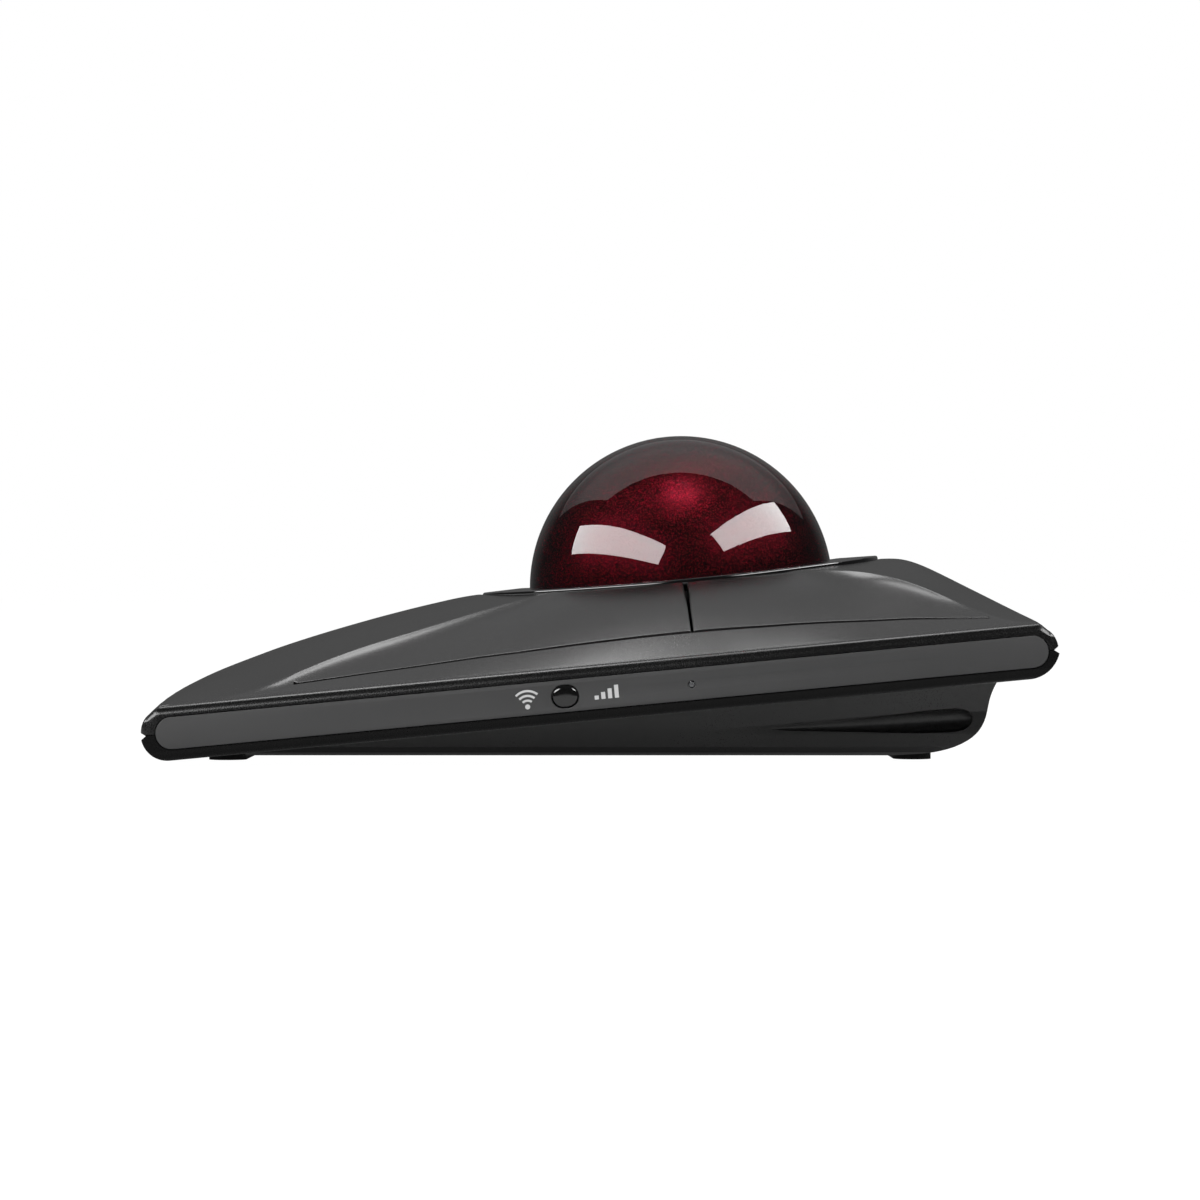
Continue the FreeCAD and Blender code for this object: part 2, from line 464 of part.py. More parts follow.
bearing_points = [around(t, D("bearing_drop"), D("bearing_at")) for t in (30, 150, 270)]
bearing_balls = [globe("bearing_%d" % i, "bearing_r", p.x, p.y, p.z) for i, p in enumerate(bearing_points)]
bearing_seats = [globe("bearing_seat_%d" % i, "bearing_r+0.02", p.x, p.y, p.z) for i, p in enumerate(bearing_points)]
keep("support_bearings", bearing_balls, SLAB)


def aimed(turn_deg, drop_deg):
    """A frame whose z points from the ball outwards, x level."""
    n = (around(turn_deg, drop_deg, 1) - ball_centre).normalize()
    side = V(-math.sin(math.radians(turn_deg)), math.cos(math.radians(turn_deg)), 0)
    return Rotation(side, n.cross(side), n, "ZXY")


def block(name, turn_deg, drop_deg, r0, r1, wide, high, shift=0.0):
    o = doc.addObject("Part::Box", name)
    rot = aimed(turn_deg, drop_deg)
    o.Length, o.Width, o.Height = wide, high, r1 - r0
    o.Placement = Placement(around(turn_deg, drop_deg, r0) + rot.multVec(V(-wide / 2, -high / 2 + shift, 0)), rot)
    return o


drop, away = D("sensor_drop"), D("sensor_turn")
windows = [block("window_%d" % i, t, drop, 26, 34, 7.2, 5.2) for i, t in enumerate((-away, 180 + away))]
cup = cut("cup_cut", fuse("cup_sum", cup_zone, flange, *legs), floor_cutter, globe("cup_clear", "cup_in_r", *BALL),
          *(bearing_seats + windows + [rod("leg_bore_%d" % i, "pilot_r", 30, "leg_at*%d" % a, "ball_u+leg_at*%d" % b, -22) for i, (a, b) in enumerate(LEGS)]))
keep("ball_cup", cup, SLAB)
for side, t in (("right", -away), ("left", 180 + away)):
    lens = fuse("lens_sum_" + side, block("lens_plate_" + side, t, drop, 30.8, 32.0, 9.0, 8.0), block("lens_nose_" + side, t, drop, 29.2, 30.9, 5.0, 4.0))
    keep("sensor_lens_" + side, lens, SLAB)
    keep("sensor_chip_" + side, block("chip_block_" + side, t, drop, 32.05, 34.2, 8.4, 7.0), SLAB)
    keep("sensor_board_" + side, block("sensor_plate_" + side, t, drop, 34.25, 35.25, 14.0, 10.0), SLAB)

# ---------------------------------------------------------------- main board and what sits on it
body = doc.addObject("PartDesign::Body", "board_body")
sk = sketch_loop(body, "board_outline", "XY_Plane", [("-board_half", "board_front"), ("board_half", "board_front"), ("board_half", "board_rear"), ("-board_half", "board_rear")])
pad = body.newObject("PartDesign::Pad", "board_pad")
pad.Profile = sk
pad.setExpression("Length", "Dims.board_thick")
doc.recompute()
hole_sk = body.newObject("Sketcher::SketchObject", "board_holes")
hole_sk.AttachmentSupport = [(plane_of(body, "XY_Plane"), "")]
hole_sk.MapMode = "FlatFace"
for x, y, r, word in [(0, D("ball_u"), D("board_bore"), "board_bore")] + [(x, u, 1.3, None) for x in (-50, 50) for u in (-20, 59)]:
    at = hole_sk.addGeometry(Part.Circle(V(x, y, 0), V(0, 0, 1), r), False)
    hole_sk.addConstraint(Sketcher.Constraint("DistanceX", -1, 1, at, 3, x) if x else Sketcher.Constraint("PointOnObject", at, 3, -2))
    k = hole_sk.addConstraint(Sketcher.Constraint("DistanceY", -1, 1, at, 3, y))
    if word:
        hole_sk.setExpression("Constraints[%d]" % k, "Dims.ball_u")
    k = hole_sk.addConstraint(Sketcher.Constraint("Radius", at, r))
    if word:
        hole_sk.setExpression("Constraints[%d]" % k, "Dims." + word)
pocket = body.newObject("PartDesign::Pocket", "board_pocket")
pocket.Profile = hole_sk
pocket.Type = 1
pocket.Reversed = True
body.Tip = pocket
body.Placement = SLAB.multiply(Placement(V(0, 0, D("board_low")), Rotation()))
body.Label = "main_board"
NODES.append(("main_board", body))

TOP = "board_low+board_thick"
keep("controller_chip", box("controller_case", -30, -23, 55, 62, TOP, TOP + "+0.9"), SLAB)
keep("wireless_module", box("wireless_case", 20, 33, 54, 63, TOP, TOP + "+1.8"), SLAB)
keep("board_screws", [fuse("board_screw_%d" % i, rod("board_shank_%d" % i, "screw_r", 3.6, x, u, "-edge_r+0.6"),
                           rod("board_head_%d" % i, "screw_head_r", 1.3, x, u, TOP)) for i, (x, u) in enumerate([(x, u) for x in (-50, 50) for u in (-20, 59)])], SLAB)
for end, sx, su in (("front", "sw_front_x", "sw_front_u"), ("rear", "sw_rear_x", "sw_rear_u")):
    case = cut("switch_cut_" + end, box("switch_case_" + end, sx + "-switch_d/2", sx + "+switch_d/2", su + "-switch_l/2", su + "+switch_l/2", TOP, TOP + "+switch_w"),
               rod("switch_well_" + end, "plunger_r+0.08", 3.0, sx, su, TOP + "+switch_w-2.2"))
    keep("microswitch_%s_right" % end, case, SLAB)
    keep("microswitch_%s_left" % end, mirror("switch_mirror_" + end, case), SLAB)
    pin = rod("plunger_pin_" + end, "plunger_r", "plunger_top-(%s+switch_w-1.2)" % TOP, sx, su, TOP + "+switch_w-1.2")
    keep("plunger_%s_right" % end, pin, SLAB)
    keep("plunger_%s_left" % end, mirror("plunger_mirror_" + end, pin), SLAB)

# ---------------------------------------------------------------- battery in front of the ball
FLOOR = "-edge_r+skin"
cell = box("cell_block", "-battery_half", "battery_half", "battery_front", "battery_rear", FLOOR, FLOOR + "+battery_high")
keep("battery_cell", cell, SLAB)
bracket = cut("bracket_cut", box("bracket_out", "-battery_half-1.4", "battery_half+1.4", "battery_front-1.4", "battery_rear+1.4", FLOOR, FLOOR + "+battery_high+1.4"),
              box("bracket_in", "-battery_half-0.1", "battery_half+0.1", "battery_front-0.1", "battery_rear+0.1", FLOOR + "-1", FLOOR + "+battery_high+0.1"),
              box("bracket_window", "-battery_half+6", "battery_half-6", "battery_front+5", "battery_rear-5", 0, 9))
keep("battery_bracket", bracket, SLAB)
keep("battery_plug", box("plug_case", 30, 36, -26, -21, TOP, TOP + "+3.4"), SLAB)

# ---------------------------------------------------------------- base housing, in the upright frame
BZ = D("base_z")
SECTION = {  # station: corner points (x, z) of the right-hand wall from the bottom up
    -66: [(44.6, BZ), (45.6, BZ + 0.5), (46.0, 2.6), (46.0, 4.8), (46.0, 5.6), (46.0, 20)],
    20: [(44.6, BZ), (45.6, BZ + 0.5), (46.1, 2.6), (46.1, 4.8), (46.1, 5.6), (46.4, 20)],
    40: [(44.8, BZ), (46.0, BZ + 0.5), (46.7, 2.6), (46.7, 4.8), (46.6, 7.4), (47.3, 20)],
    54: [(44.8, BZ), (46.2, BZ + 0.6), (47.1, 2.7), (47.1, 4.9), (46.9, 8.6), (48.6, 20)],
    72: [(44.8, BZ), (46.2, BZ + 0.6), (47.1, 2.7), (47.1, 4.9), (46.9, 8.8), (49.2, 20)],
}
wires = []
for y, pts in SECTION.items():
    loop = [V(-x, y, z) for x, z in pts] + [V(x, y, z) for x, z in reversed(pts)]
    wires.append(Part.makePolygon(loop + [loop[0]]))
base = Part.makeLoft(wires, True, True)
REAR = [(50.0, BZ), (54.6, BZ + 0.3), (58.0, 1.95), (61.4, 3.1), (64.0, 4.8), (65.5, 7.0), (66.1, 9.2), (66.4, 10.8), (67.6, 13.8), (70.2, 18)]
curve = Part.BSplineCurve()
curve.interpolate([V(-60, y, z) for y, z in REAR])
edges = [curve.toShape(), Part.makeLine(V(-60, 70.2, 18), V(-60, -70, 18)), Part.makeLine(V(-60, -70, 18), V(-60, -70, BZ)), Part.makeLine(V(-60, -70, BZ), V(-60, 50, BZ))]
base = base.common(Part.Face(Part.Wire(Part.sortEdges(edges)[0])).extrude(V(120, 0, 0)))
plan = Part.makeBox(104, 129.6, 30, V(-52, -60.6, -5))
plan = plan.makeFillet(7.0, [e for e in plan.Edges if abs(e.tangentAt(e.FirstParameter).z) > 0.9 and e.CenterOfMass.y > 0])
base = base.common(plan)
slab_block = Part.makeBox(300, 300, 80, V(-150, -150, -D("edge_r")))
slab_block.Placement = ROW.inverse().multiply(SLAB)
base = base.cut(slab_block)
# a scoop along each side that deepens towards the rear and ends in a rounded pocket: station, height, half-height, depth
SCOOP = [(28.6, 5.65, 0.14, 0.10), (38.0, 6.1, 0.85, 0.45), (48.85, 6.58, 1.49, 1.05), (56.0, 7.0, 1.93, 1.8), (60.4, 7.25, 2.02, 2.1), (62.5, 7.4, 1.55, 1.6), (63.5, 7.5, 0.35, 0.4)]
rings = []
for y, z, tall, deep in SCOOP:
    face_x = 46.1 + 1.0 * min(1.0, max(0.0, (y - 20) / 34.0)) + 0.12
    pts = [V(face_x + deep * math.cos(k * math.pi / 12), y, z + tall * math.sin(k * math.pi / 12)) for k in range(24)]
    loop = Part.BSplineCurve()
    loop.interpolate(pts, PeriodicFlag=True)
    rings.append(Part.Wire([loop.toShape()]))
scoop = Part.makeLoft(rings, True, False)
base = base.cut(scoop).cut(scoop.mirror(V(0, 0, 0), V(1, 0, 0)))
base_blank = free("base_blank", base)
hollow = box("base_hollow", "-base_in", "base_in", -50, 59.5, "floor_z", 30)
bay_block = box("bay_block", "bay_x-bay_half-1.2", "bay_x+bay_half+1.2", "bay_front-1.2", "bay_rear+1.2", "base_z", "bay_top+1.2")
bay_room = box("bay_room", "bay_x-bay_half", "bay_x+bay_half", "bay_front", "bay_rear", 0, "bay_top")
slab_cut = free("slab_cut", slab_block)
bay_trim = cut("bay_trim", bay_block, slab_cut)
centre_row = SLAB.multVec(ball_centre) - V(0, D("origin_shift"), 0)
dish = globe("base_dish", "ball_r+0.42", centre_row.x, centre_row.y, centre_row.z)
LEG_ROW = []
for i, (a, b) in enumerate(LEGS):
    low = SLAB.multVec(V(D("leg_at") * a, D("ball_u") + D("leg_at") * b, 0))
    # where the leg's axis meets the floor
    k = (low.z - D("floor_z")) / math.cos(math.radians(D("tilt_deg")))
    p = SLAB.multVec(V(D("leg_at") * a, D("ball_u") + D("leg_at") * b, -k)) - V(0, D("origin_shift"), 0)
    LEG_ROW.append(p)
base_bores = [rod("base_bore_%d" % i, "pilot_r+0.1", 4, p.x, p.y, 0.5) for i, p in enumerate(LEG_ROW)]
base_heads = [rod("base_head_%d" % i, "screw_head_r+0.15", 1.6, p.x, p.y, 0.6) for i, p in enumerate(LEG_ROW)]
port_room = fuse("port_room", box("port_room_bar", "-port_wide/2+port_high/2", "port_wide/2-port_high/2", 58, 70, "port_z-port_high/2-0.1", "port_z+port_high/2+0.1"),
                 rod("port_room_l", "port_high/2+0.1", 12, "-port_wide/2+port_high/2", 58, "port_z", "y"),
                 rod("port_room_r", "port_high/2+0.1", 12, "port_wide/2-port_high/2", 58, "port_z", "y"))
port_shelf = box("port_shelf", -10, 10, 53.5, 59.6, "floor_z-0.1", "port_z-port_high/2-1.05")
housing = cut("housing_cut", fuse("housing_sum", cut("housing_shell", base_blank, hollow), bay_trim, port_shelf), bay_room, dish, port_room, *(base_bores + base_heads))
keep("base_housing", housing, ROW)
keep("base_screws", [fuse("base_screw_%d" % i, rod("base_screw_head_%d" % i, "screw_head_r", 0.9, p.x, p.y, "base_z+0.1"),
                          rod("base_shank_%d" % i, "screw_r-0.35", 4.6, p.x, p.y, "base_z+0.9")) for i, p in enumerate(LEG_ROW)], ROW)

# ---------------------------------------------------------------- charging port
keep("port_board", box("port_plate", -9, 9, 53.7, 59.4, "port_z-port_high/2-1.0", "port_z-port_high/2"), ROW)


def pill(name, half, r, y0, length):
    return fuse(name, box(name + "_bar", "-(" + half + ")", half, y0, y0 + "+(" + length + ")", "port_z-(" + r + ")", "port_z+" + r),
                *[rod(name + "_%d" % k, r, length, sign + "(" + half + ")", y0, "port_z", "y") for k, sign in enumerate(("-", ""))])


half = "port_wide/2-port_high/2"
port = cut("port_cut", pill("port_outer", half, "port_high/2", "port_back-7.3", "7.3"), pill("port_inner", half, "port_high/2-0.3", "port_back-6.3", "7.3"))
keep("charging_port", port, ROW)
keep("port_tongue", box("tongue_bar", -3.35, 3.35, "port_back-6.3", "port_back-1.0", "port_z-0.35", "port_z+0.35"), ROW)

# ---------------------------------------------------------------- receiver in its bay, open below
ry = "bay_front+0.5"
keep("receiver_body", box("receiver_case", "bay_x-7.4", "bay_x+7.4", ry + "+12", ry + "+19", 1.45, 7.6), ROW)
plug = cut("receiver_cut", box("receiver_shell", "bay_x-6", "bay_x+6", ry, ry + "+12", 2.3, 6.8), box("receiver_inside", "bay_x-5.7", "bay_x+5.7", ry + "-1", ry + "+11", 4.6, 6.5))
keep("receiver_plug", plug, ROW)

# ---------------------------------------------------------------- feet


def foot(name, x, y, top_frame_cut):
    blank = fuse(name + "_sum", box(name + "_bar", x + "-foot_long/2+foot_wide/2", x + "+foot_long/2-foot_wide/2", y + "-foot_wide/2", y + "+foot_wide/2", 0, 4),
                 rod(name + "_a", "foot_wide/2", 4, x + "-foot_long/2+foot_wide/2", y, 0), rod(name + "_b", "foot_wide/2", 4, x + "+foot_long/2-foot_wide/2", y, 0))
    return cut(name + "_cut", blank, top_frame_cut)


base_over = box("base_over", -150, 150, -150, 150, "base_z", 20)
for end, y, tool in (("front", "foot_front_y", slab_cut), ("rear", "foot_rear_y", base_over)):
    x = "foot_x" if end == "rear" else "foot_x+3"
    one = foot("foot_" + end, x, y, tool)
    keep("foot_%s_right" % end, one, ROW)
    keep("foot_%s_left" % end, mirror("foot_mirror_" + end, one), ROW)

keep("case_screws", [fuse("case_screw_%d" % i, rod("case_head_%d" % i, "screw_head_r", 1.1, x, u, "-edge_r+0.15"),
                          rod("case_shank_%d" % i, "screw_r", 6.6, x, u, "-edge_r+1.2")) for i, (x, u) in enumerate(BOSS)], SLAB)

# ---------------------------------------------------------------- recompute, check and write
doc.recompute()
bad = []
for o in doc.Objects:
    if any(s in ("Invalid", "Error") for s in o.State):
        bad.append(o.Name)
for name, o in NODES:
    if o.Shape.isNull() or not o.Shape.isValid() or not o.Shape.Solids:
        bad.append("shape of " + name)
    if o.Label != name:
        bad.append("label of " + name + " is " + o.Label)
if bad:
    raise SystemExit("broken: " + ", ".join(bad))
os.makedirs("parts", exist_ok=True)
for name, o in NODES:
    shape = o.Shape
    solids = shape.Solids
    if len(solids) == 1:
        shape = solids[0]
    shape.exportStep("parts/%s.step" % name)
    b = shape.optimalBoundingBox(False)
    print("%-24s solids %d volume %9.1f  x %7.2f %7.2f  y %7.2f %7.2f  z %7.2f %7.2f" % (
        name, len(solids), shape.Volume, b.XMin, b.XMax, b.YMin, b.YMax, b.ZMin, b.ZMax))
print(len(NODES), "nodes")
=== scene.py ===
import json
import math

import bmesh
import bpy
import numpy as np
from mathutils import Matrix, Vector

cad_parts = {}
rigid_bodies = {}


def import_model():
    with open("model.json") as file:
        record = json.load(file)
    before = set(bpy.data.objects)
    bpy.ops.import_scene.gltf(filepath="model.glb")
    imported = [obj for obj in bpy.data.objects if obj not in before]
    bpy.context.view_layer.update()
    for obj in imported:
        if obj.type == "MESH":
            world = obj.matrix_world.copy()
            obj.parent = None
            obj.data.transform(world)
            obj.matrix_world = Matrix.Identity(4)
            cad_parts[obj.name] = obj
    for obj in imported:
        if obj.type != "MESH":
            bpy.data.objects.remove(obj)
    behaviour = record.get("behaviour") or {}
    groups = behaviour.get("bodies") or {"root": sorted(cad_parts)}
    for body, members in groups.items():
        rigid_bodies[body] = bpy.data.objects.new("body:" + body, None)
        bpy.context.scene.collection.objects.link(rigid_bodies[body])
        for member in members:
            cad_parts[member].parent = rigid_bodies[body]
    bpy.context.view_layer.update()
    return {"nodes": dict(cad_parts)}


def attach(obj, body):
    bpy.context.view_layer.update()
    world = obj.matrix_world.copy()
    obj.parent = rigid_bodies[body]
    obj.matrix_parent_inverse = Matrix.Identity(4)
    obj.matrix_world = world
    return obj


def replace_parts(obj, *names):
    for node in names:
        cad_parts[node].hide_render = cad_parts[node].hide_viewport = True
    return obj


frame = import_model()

NODES = frame["nodes"]
scene = bpy.context.scene
MM = 0.001


# ---------------------------------------------------------------- node materials
def srgb(v):
    """The linear value of an 8-bit screen value."""
    c = v / 255.0
    return c / 12.92 if c <= 0.04045 else ((c + 0.055) / 1.055) ** 2.4


def grey(v, tint=(1.0, 1.0, 1.0)):
    return tuple(srgb(v) * t for t in tint) + (1.0,)


class Mat:
    """A material and short ways to add its nodes."""

    def __init__(self, name):
        self.mat = bpy.data.materials.new(name)
        self.mat.use_nodes = True
        self.nt = self.mat.node_tree
        self.nt.nodes.clear()
        self.out = self.nt.nodes.new("ShaderNodeOutputMaterial")
        self.p = self.nt.nodes.new("ShaderNodeBsdfPrincipled")
        self.link(self.p.outputs[0], self.out.inputs["Surface"])
        self.coord = self.nt.nodes.new("ShaderNodeTexCoord").outputs["Object"]

    def link(self, a, b):
        self.nt.links.new(a, b)

    def set(self, **values):
        for k, v in values.items():
            self.p.inputs[k.replace("_", " ")].default_value = v
        return self

    def noise(self, scale, detail=2.0, rough=0.5, stretch=None):
        n = self.nt.nodes.new("ShaderNodeTexNoise")
        n.inputs["Scale"].default_value = scale
        n.inputs["Detail"].default_value = detail
        n.inputs["Roughness"].default_value = rough
        src = self.coord
        if stretch:
            m = self.nt.nodes.new("ShaderNodeMapping")
            m.inputs["Scale"].default_value = stretch
            self.link(self.coord, m.inputs["Vector"])
            src = m.outputs[0]
        self.link(src, n.inputs["Vector"])
        return n.outputs["Fac"]

    def voronoi(self, scale, feature="F1"):
        n = self.nt.nodes.new("ShaderNodeTexVoronoi")
        n.feature = feature
        n.inputs["Scale"].default_value = scale
        self.link(self.coord, n.inputs["Vector"])
        return n

    def remap(self, value, a, b, lo, hi):
        n = self.nt.nodes.new("ShaderNodeMapRange")
        for key, v in (("From Min", a), ("From Max", b), ("To Min", lo), ("To Max", hi)):
            n.inputs[key].default_value = v
        self.link(value, n.inputs["Value"])
        return n.outputs["Result"]

    def mix(self, fac, a, b):
        n = self.nt.nodes.new("ShaderNodeMix")
        n.data_type = "RGBA"
        for key, v in ((6, a), (7, b)):
            if isinstance(v, tuple):
                n.inputs[key].default_value = v
            else:
                self.link(v, n.inputs[key])
        if isinstance(fac, float):
            n.inputs[0].default_value = fac
        else:
            self.link(fac, n.inputs[0])
        return n.outputs[2]

    def math(self, op, a, b):
        n = self.nt.nodes.new("ShaderNodeMath")
        n.operation = op
        for i, v in enumerate((a, b)):
            if isinstance(v, (int, float)):
                n.inputs[i].default_value = v
            else:
                self.link(v, n.inputs[i])
        return n.outputs[0]

    def pointiness(self):
        g = self.nt.nodes.new("ShaderNodeNewGeometry")
        return g.outputs["Pointiness"]

    def bump(self, height, distance, strength=1.0):
        b = self.nt.nodes.new("ShaderNodeBump")
        b.inputs["Strength"].default_value = strength
        b.inputs["Distance"].default_value = distance
        self.link(height, b.inputs["Height"])
        return b.outputs[0]

    def slab_height(self):
        """Height over the tilted slab's middle plane, in millimetres."""
        n = self.nt.nodes.new("ShaderNodeVectorMath")
        n.operation = "DOT_PRODUCT"
        tilt = math.radians(5.404)
        n.inputs[1].default_value = (0.0, -1000 * math.sin(tilt), 1000 * math.cos(tilt))
        self.link(self.coord, n.inputs[0])
        return self.math("SUBTRACT", n.outputs["Value"], 12.35 * math.cos(tilt) - 0.45 * math.sin(tilt))

    def colour(self, src):
        self.link(src, self.p.inputs["Base Color"])

    def rough(self, src):
        self.link(src, self.p.inputs["Roughness"])

    def normal(self, src):
        self.link(src, self.p.inputs["Normal"])


def plastic(name, base, rough, grain=5200.0, depth=0.000012, vary=0.12, wear=0.25, spread=0.05, rim=None, **more):
    """Moulded plastic: a fine spark-eroded grain, slow changes of tone and gloss, and paler worn edges; with rim given,
    a dark band of painted shade along the rim.
    """
    m = Mat(name)
    cloud = m.noise(38.0, 3.0)
    fine = m.noise(grain, 3.0, 0.6)
    dark = tuple(c * (1 - vary) for c in base[:3]) + (1.0,)
    light = tuple(c * (1 + vary) for c in base[:3]) + (1.0,)
    tone = m.mix(m.remap(cloud, 0.3, 0.7, 0.0, 1.0), dark, light)
    rubbed = tuple(min(1.0, c * 1.8 + 0.004) for c in base[:3]) + (1.0,)
    edge = m.math("MULTIPLY", m.remap(m.pointiness(), 0.53, 0.62, 0.0, wear), m.remap(m.noise(900.0, 4.0), 0.4, 0.65, 0.2, 1.0))
    top = m.mix(edge, tone, rubbed)
    gloss = m.math("ADD", m.remap(cloud, 0.3, 0.7, rough - spread / 2, rough + spread / 2), m.remap(fine, 0.3, 0.7, -spread, spread))
    if rim:
        # painted shade: the rim beside the strip is painted dark and coarse, a band of shade along the side edge next
        # to the strip
        painted_rim_shade = m.remap(m.slab_height(), rim[0], rim[1], 1.0, 0.0)
        rim_shade_grit = m.remap(m.noise(2600.0, 4.0, 0.7), 0.35, 0.7, 0.0, 1.0)
        top = m.mix(painted_rim_shade, top, m.mix(rim_shade_grit, grey(5), grey(13)))
        gloss = m.math("ADD", gloss, m.math("MULTIPLY", painted_rim_shade, 0.04))
    m.colour(top)
    m.rough(gloss)
    m.normal(m.bump(fine, depth))
    m.set(**more)
    return m.mat


# the cover's rim band is painted shade: a height mask darkens the side edge next to the strip
COVER = plastic("satin_cover", grey(15, (1.0, 1.0, 1.0)), 0.21, rim=(4.75, 5.2), grain=5200.0, depth=0.000006)
BUTTON = plastic("satin_button", grey(15, (1.0, 1.0, 1.0)), 0.21, grain=5200.0, depth=0.000006)
SHELL = plastic("dark_shell", grey(9), 0.24, grain=3000.0, depth=0.000014, wear=0.1, Specular_IOR_Level=0.12)
BASE = plastic("dark_base", grey(38), 0.30, grain=6000.0, depth=0.000006, vary=0.06, spread=0.03)
STRIP = plastic("matt_strip", grey(46, (1.0, 1.0, 1.01)), 0.55, grain=6500.0, depth=0.000008, wear=0.1)
GLOSS = plastic("gloss_black", grey(9), 0.10, grain=1800.0, depth=0.000001, spread=0.02, wear=0.05, Coat_Weight=0.5, Coat_Roughness=0.04)
CHIP = plastic("moulded_case", grey(30), 0.5)
RUBBER = plastic("foot_rubber", grey(22), 0.78, grain=2600.0, depth=0.00003, wear=0.4)
CERAMIC = plastic("white_ceramic", grey(215, (1.0, 0.99, 0.95)), 0.15, grain=2500.0, depth=0.000002, wear=0.0)
WRAP = plastic("battery_wrap", grey(70, (0.5, 0.8, 1.4)), 0.35, grain=900.0, depth=0.00001)


def metal(name, base, rough, scratch=(1.0, 1.0, 1.0)):
    m = Mat(name)
    lines = m.noise(1500.0, 4.0, 0.6, scratch)
    cloud = m.noise(60.0, 3.0)
    m.colour(m.mix(m.remap(cloud, 0.3, 0.7, 0.0, 1.0), tuple(c * 0.85 for c in base[:3]) + (1.0,), base))
    m.rough(m.remap(lines, 0.3, 0.7, rough - 0.08, rough + 0.1))
    m.normal(m.bump(lines, 0.000004))
    m.set(Metallic=1.0)
    return m.mat


STEEL = metal("screw_steel", (0.35, 0.35, 0.36, 1.0), 0.32)
PLUG = metal("plug_metal", (0.62, 0.62, 0.63, 1.0), 0.24, (1.0, 0.08, 1.0))


def board():
    m = Mat("board_green")
    tracks = m.voronoi(420.0, "DISTANCE_TO_EDGE")
    m.colour(m.mix(m.remap(tracks.outputs["Distance"], 0.02, 0.06, 0.0, 1.0), (0.03, 0.16, 0.06, 1.0), (0.008, 0.06, 0.025, 1.0)))
    m.rough(m.remap(m.noise(300.0), 0.3, 0.7, 0.28, 0.45))
    m.normal(m.bump(tracks.outputs["Distance"], 0.00002))
    return m.mat


BOARD = board()


def clear(name, tint, rough):
    m = Mat(name)
    m.colour(m.mix(m.remap(m.noise(200.0), 0.3, 0.7, 0.0, 1.0), tint, tuple(c * 0.9 for c in tint[:3]) + (1.0,)))
    m.rough(m.remap(m.noise(700.0), 0.3, 0.7, rough, rough + 0.06))
    m.set(Transmission_Weight=0.9, IOR=1.5)
    return m.mat


OPTIC = clear("clear_optic", (0.9, 0.92, 0.95, 1.0), 0.04)


def ball_red(name, glow, rough):
    """Dark red metallic paint with fine flakes, seen through the clear shell."""
    m = Mat(name)
    fine = m.voronoi(11000.0)
    coarse = m.voronoi(4600.0)
    flake = m.math("MULTIPLY", m.remap(fine.outputs["Color"], 0.2, 1.0, 0.0, 1.0), m.remap(coarse.outputs["Color"], 0.1, 0.9, 0.45, 1.0))
    cloud = m.noise(60.0, 4.0, 0.55)
    deep = m.mix(m.remap(cloud, 0.35, 0.65, 0.0, 1.0), (0.016 * glow, 0.0008, 0.0016, 1.0), (0.026 * glow, 0.0010, 0.0026, 1.0))
    m.colour(m.mix(m.remap(flake, 0.25, 0.9, 0.0, 1.0), deep, (0.12 * glow, 0.0035, 0.010, 1.0)))
    m.rough(m.remap(flake, 0.0, 1.0, rough - 0.05, rough + 0.1))
    m.normal(m.bump(flake, 0.00005, 0.35))
    m.set(Metallic=1.0)
    return m.mat


BALL_FLAKE = ball_red("ball_flake", 1.0, 0.26)
BALL_DEEP = ball_red("ball_depth", 0.6, 0.5)


def ball_clear():
    """Clear cast resin, faintly smoked, with the finest polishing marks."""
    m = Mat("ball_resin")
    m.colour(m.mix(m.remap(m.noise(80.0), 0.3, 0.7, 0.0, 1.0), (0.84, 0.80, 0.79, 1.0), (0.81, 0.77, 0.76, 1.0)))
    m.rough(m.remap(m.noise(900.0, 5.0), 0.35, 0.75, 0.0, 0.02))
    m.normal(m.bump(m.noise(2400.0, 3.0), 0.0000002))
    m.set(Transmission_Weight=1.0, IOR=1.49)
    return m.mat


BALL_CLEAR = ball_clear()

LOOK = {
    "lower_shell": SHELL, "top_cover": COVER, "side_strip": STRIP, "resolution_button": GLOSS, "tact_switch": CHIP,
    "status_light_pipe": OPTIC, "status_led": CERAMIC, "mode_knob": GLOSS, "mode_switch": CHIP, "bezel_ring": GLOSS,
    "ball_core": BALL_DEEP, "ball_inner_layer": BALL_DEEP, "ball_flake_layer": BALL_FLAKE, "ball_shell": BALL_CLEAR,
    "support_bearings": CERAMIC, "ball_cup": BASE, "sensor_lens": OPTIC, "sensor_chip": CHIP, "sensor_board": BOARD,
    "main_board": BOARD, "controller_chip": CHIP, "wireless_module": PLUG, "board_screws": STEEL, "microswitch": CHIP,
    "plunger": GLOSS, "battery_cell": WRAP, "battery_bracket": CHIP, "battery_plug": CERAMIC, "base_housing": BASE,
    "base_screws": STEEL, "port_board": BOARD, "charging_port": PLUG, "port_tongue": CHIP, "receiver_body": CHIP,
    "receiver_plug": PLUG, "foot": RUBBER, "case_screws": STEEL, "button": BUTTON,
}
for name, ob in NODES.items():
    found = [k for k in LOOK if name.startswith(k)]
    look = LOOK[max(found, key=len)]
    for k in range(max(1, len(ob.data.materials))):
        if k < len(ob.material_slots):
            ob.material_slots[k].link = "OBJECT"
            ob.material_slots[k].material = look
        else:
            ob.data.materials.append(look)

# PIECES-BEGIN
# ---------------------------------------------------------------- the slab's frame and surfaces, in millimetres
TILT = math.radians(5.404)
CT, ST = math.cos(TILT), math.sin(TILT)


def row(x, u, w):
    """Points of the tilted slab in the row frame, in metres."""
    x, u, w = np.broadcast_arrays(np.asarray(x, float), np.asarray(u, float), np.asarray(w, float))
    return np.stack([x, 0.45 + u * CT - w * ST, 12.35 + u * ST + w * CT], -1) * MM


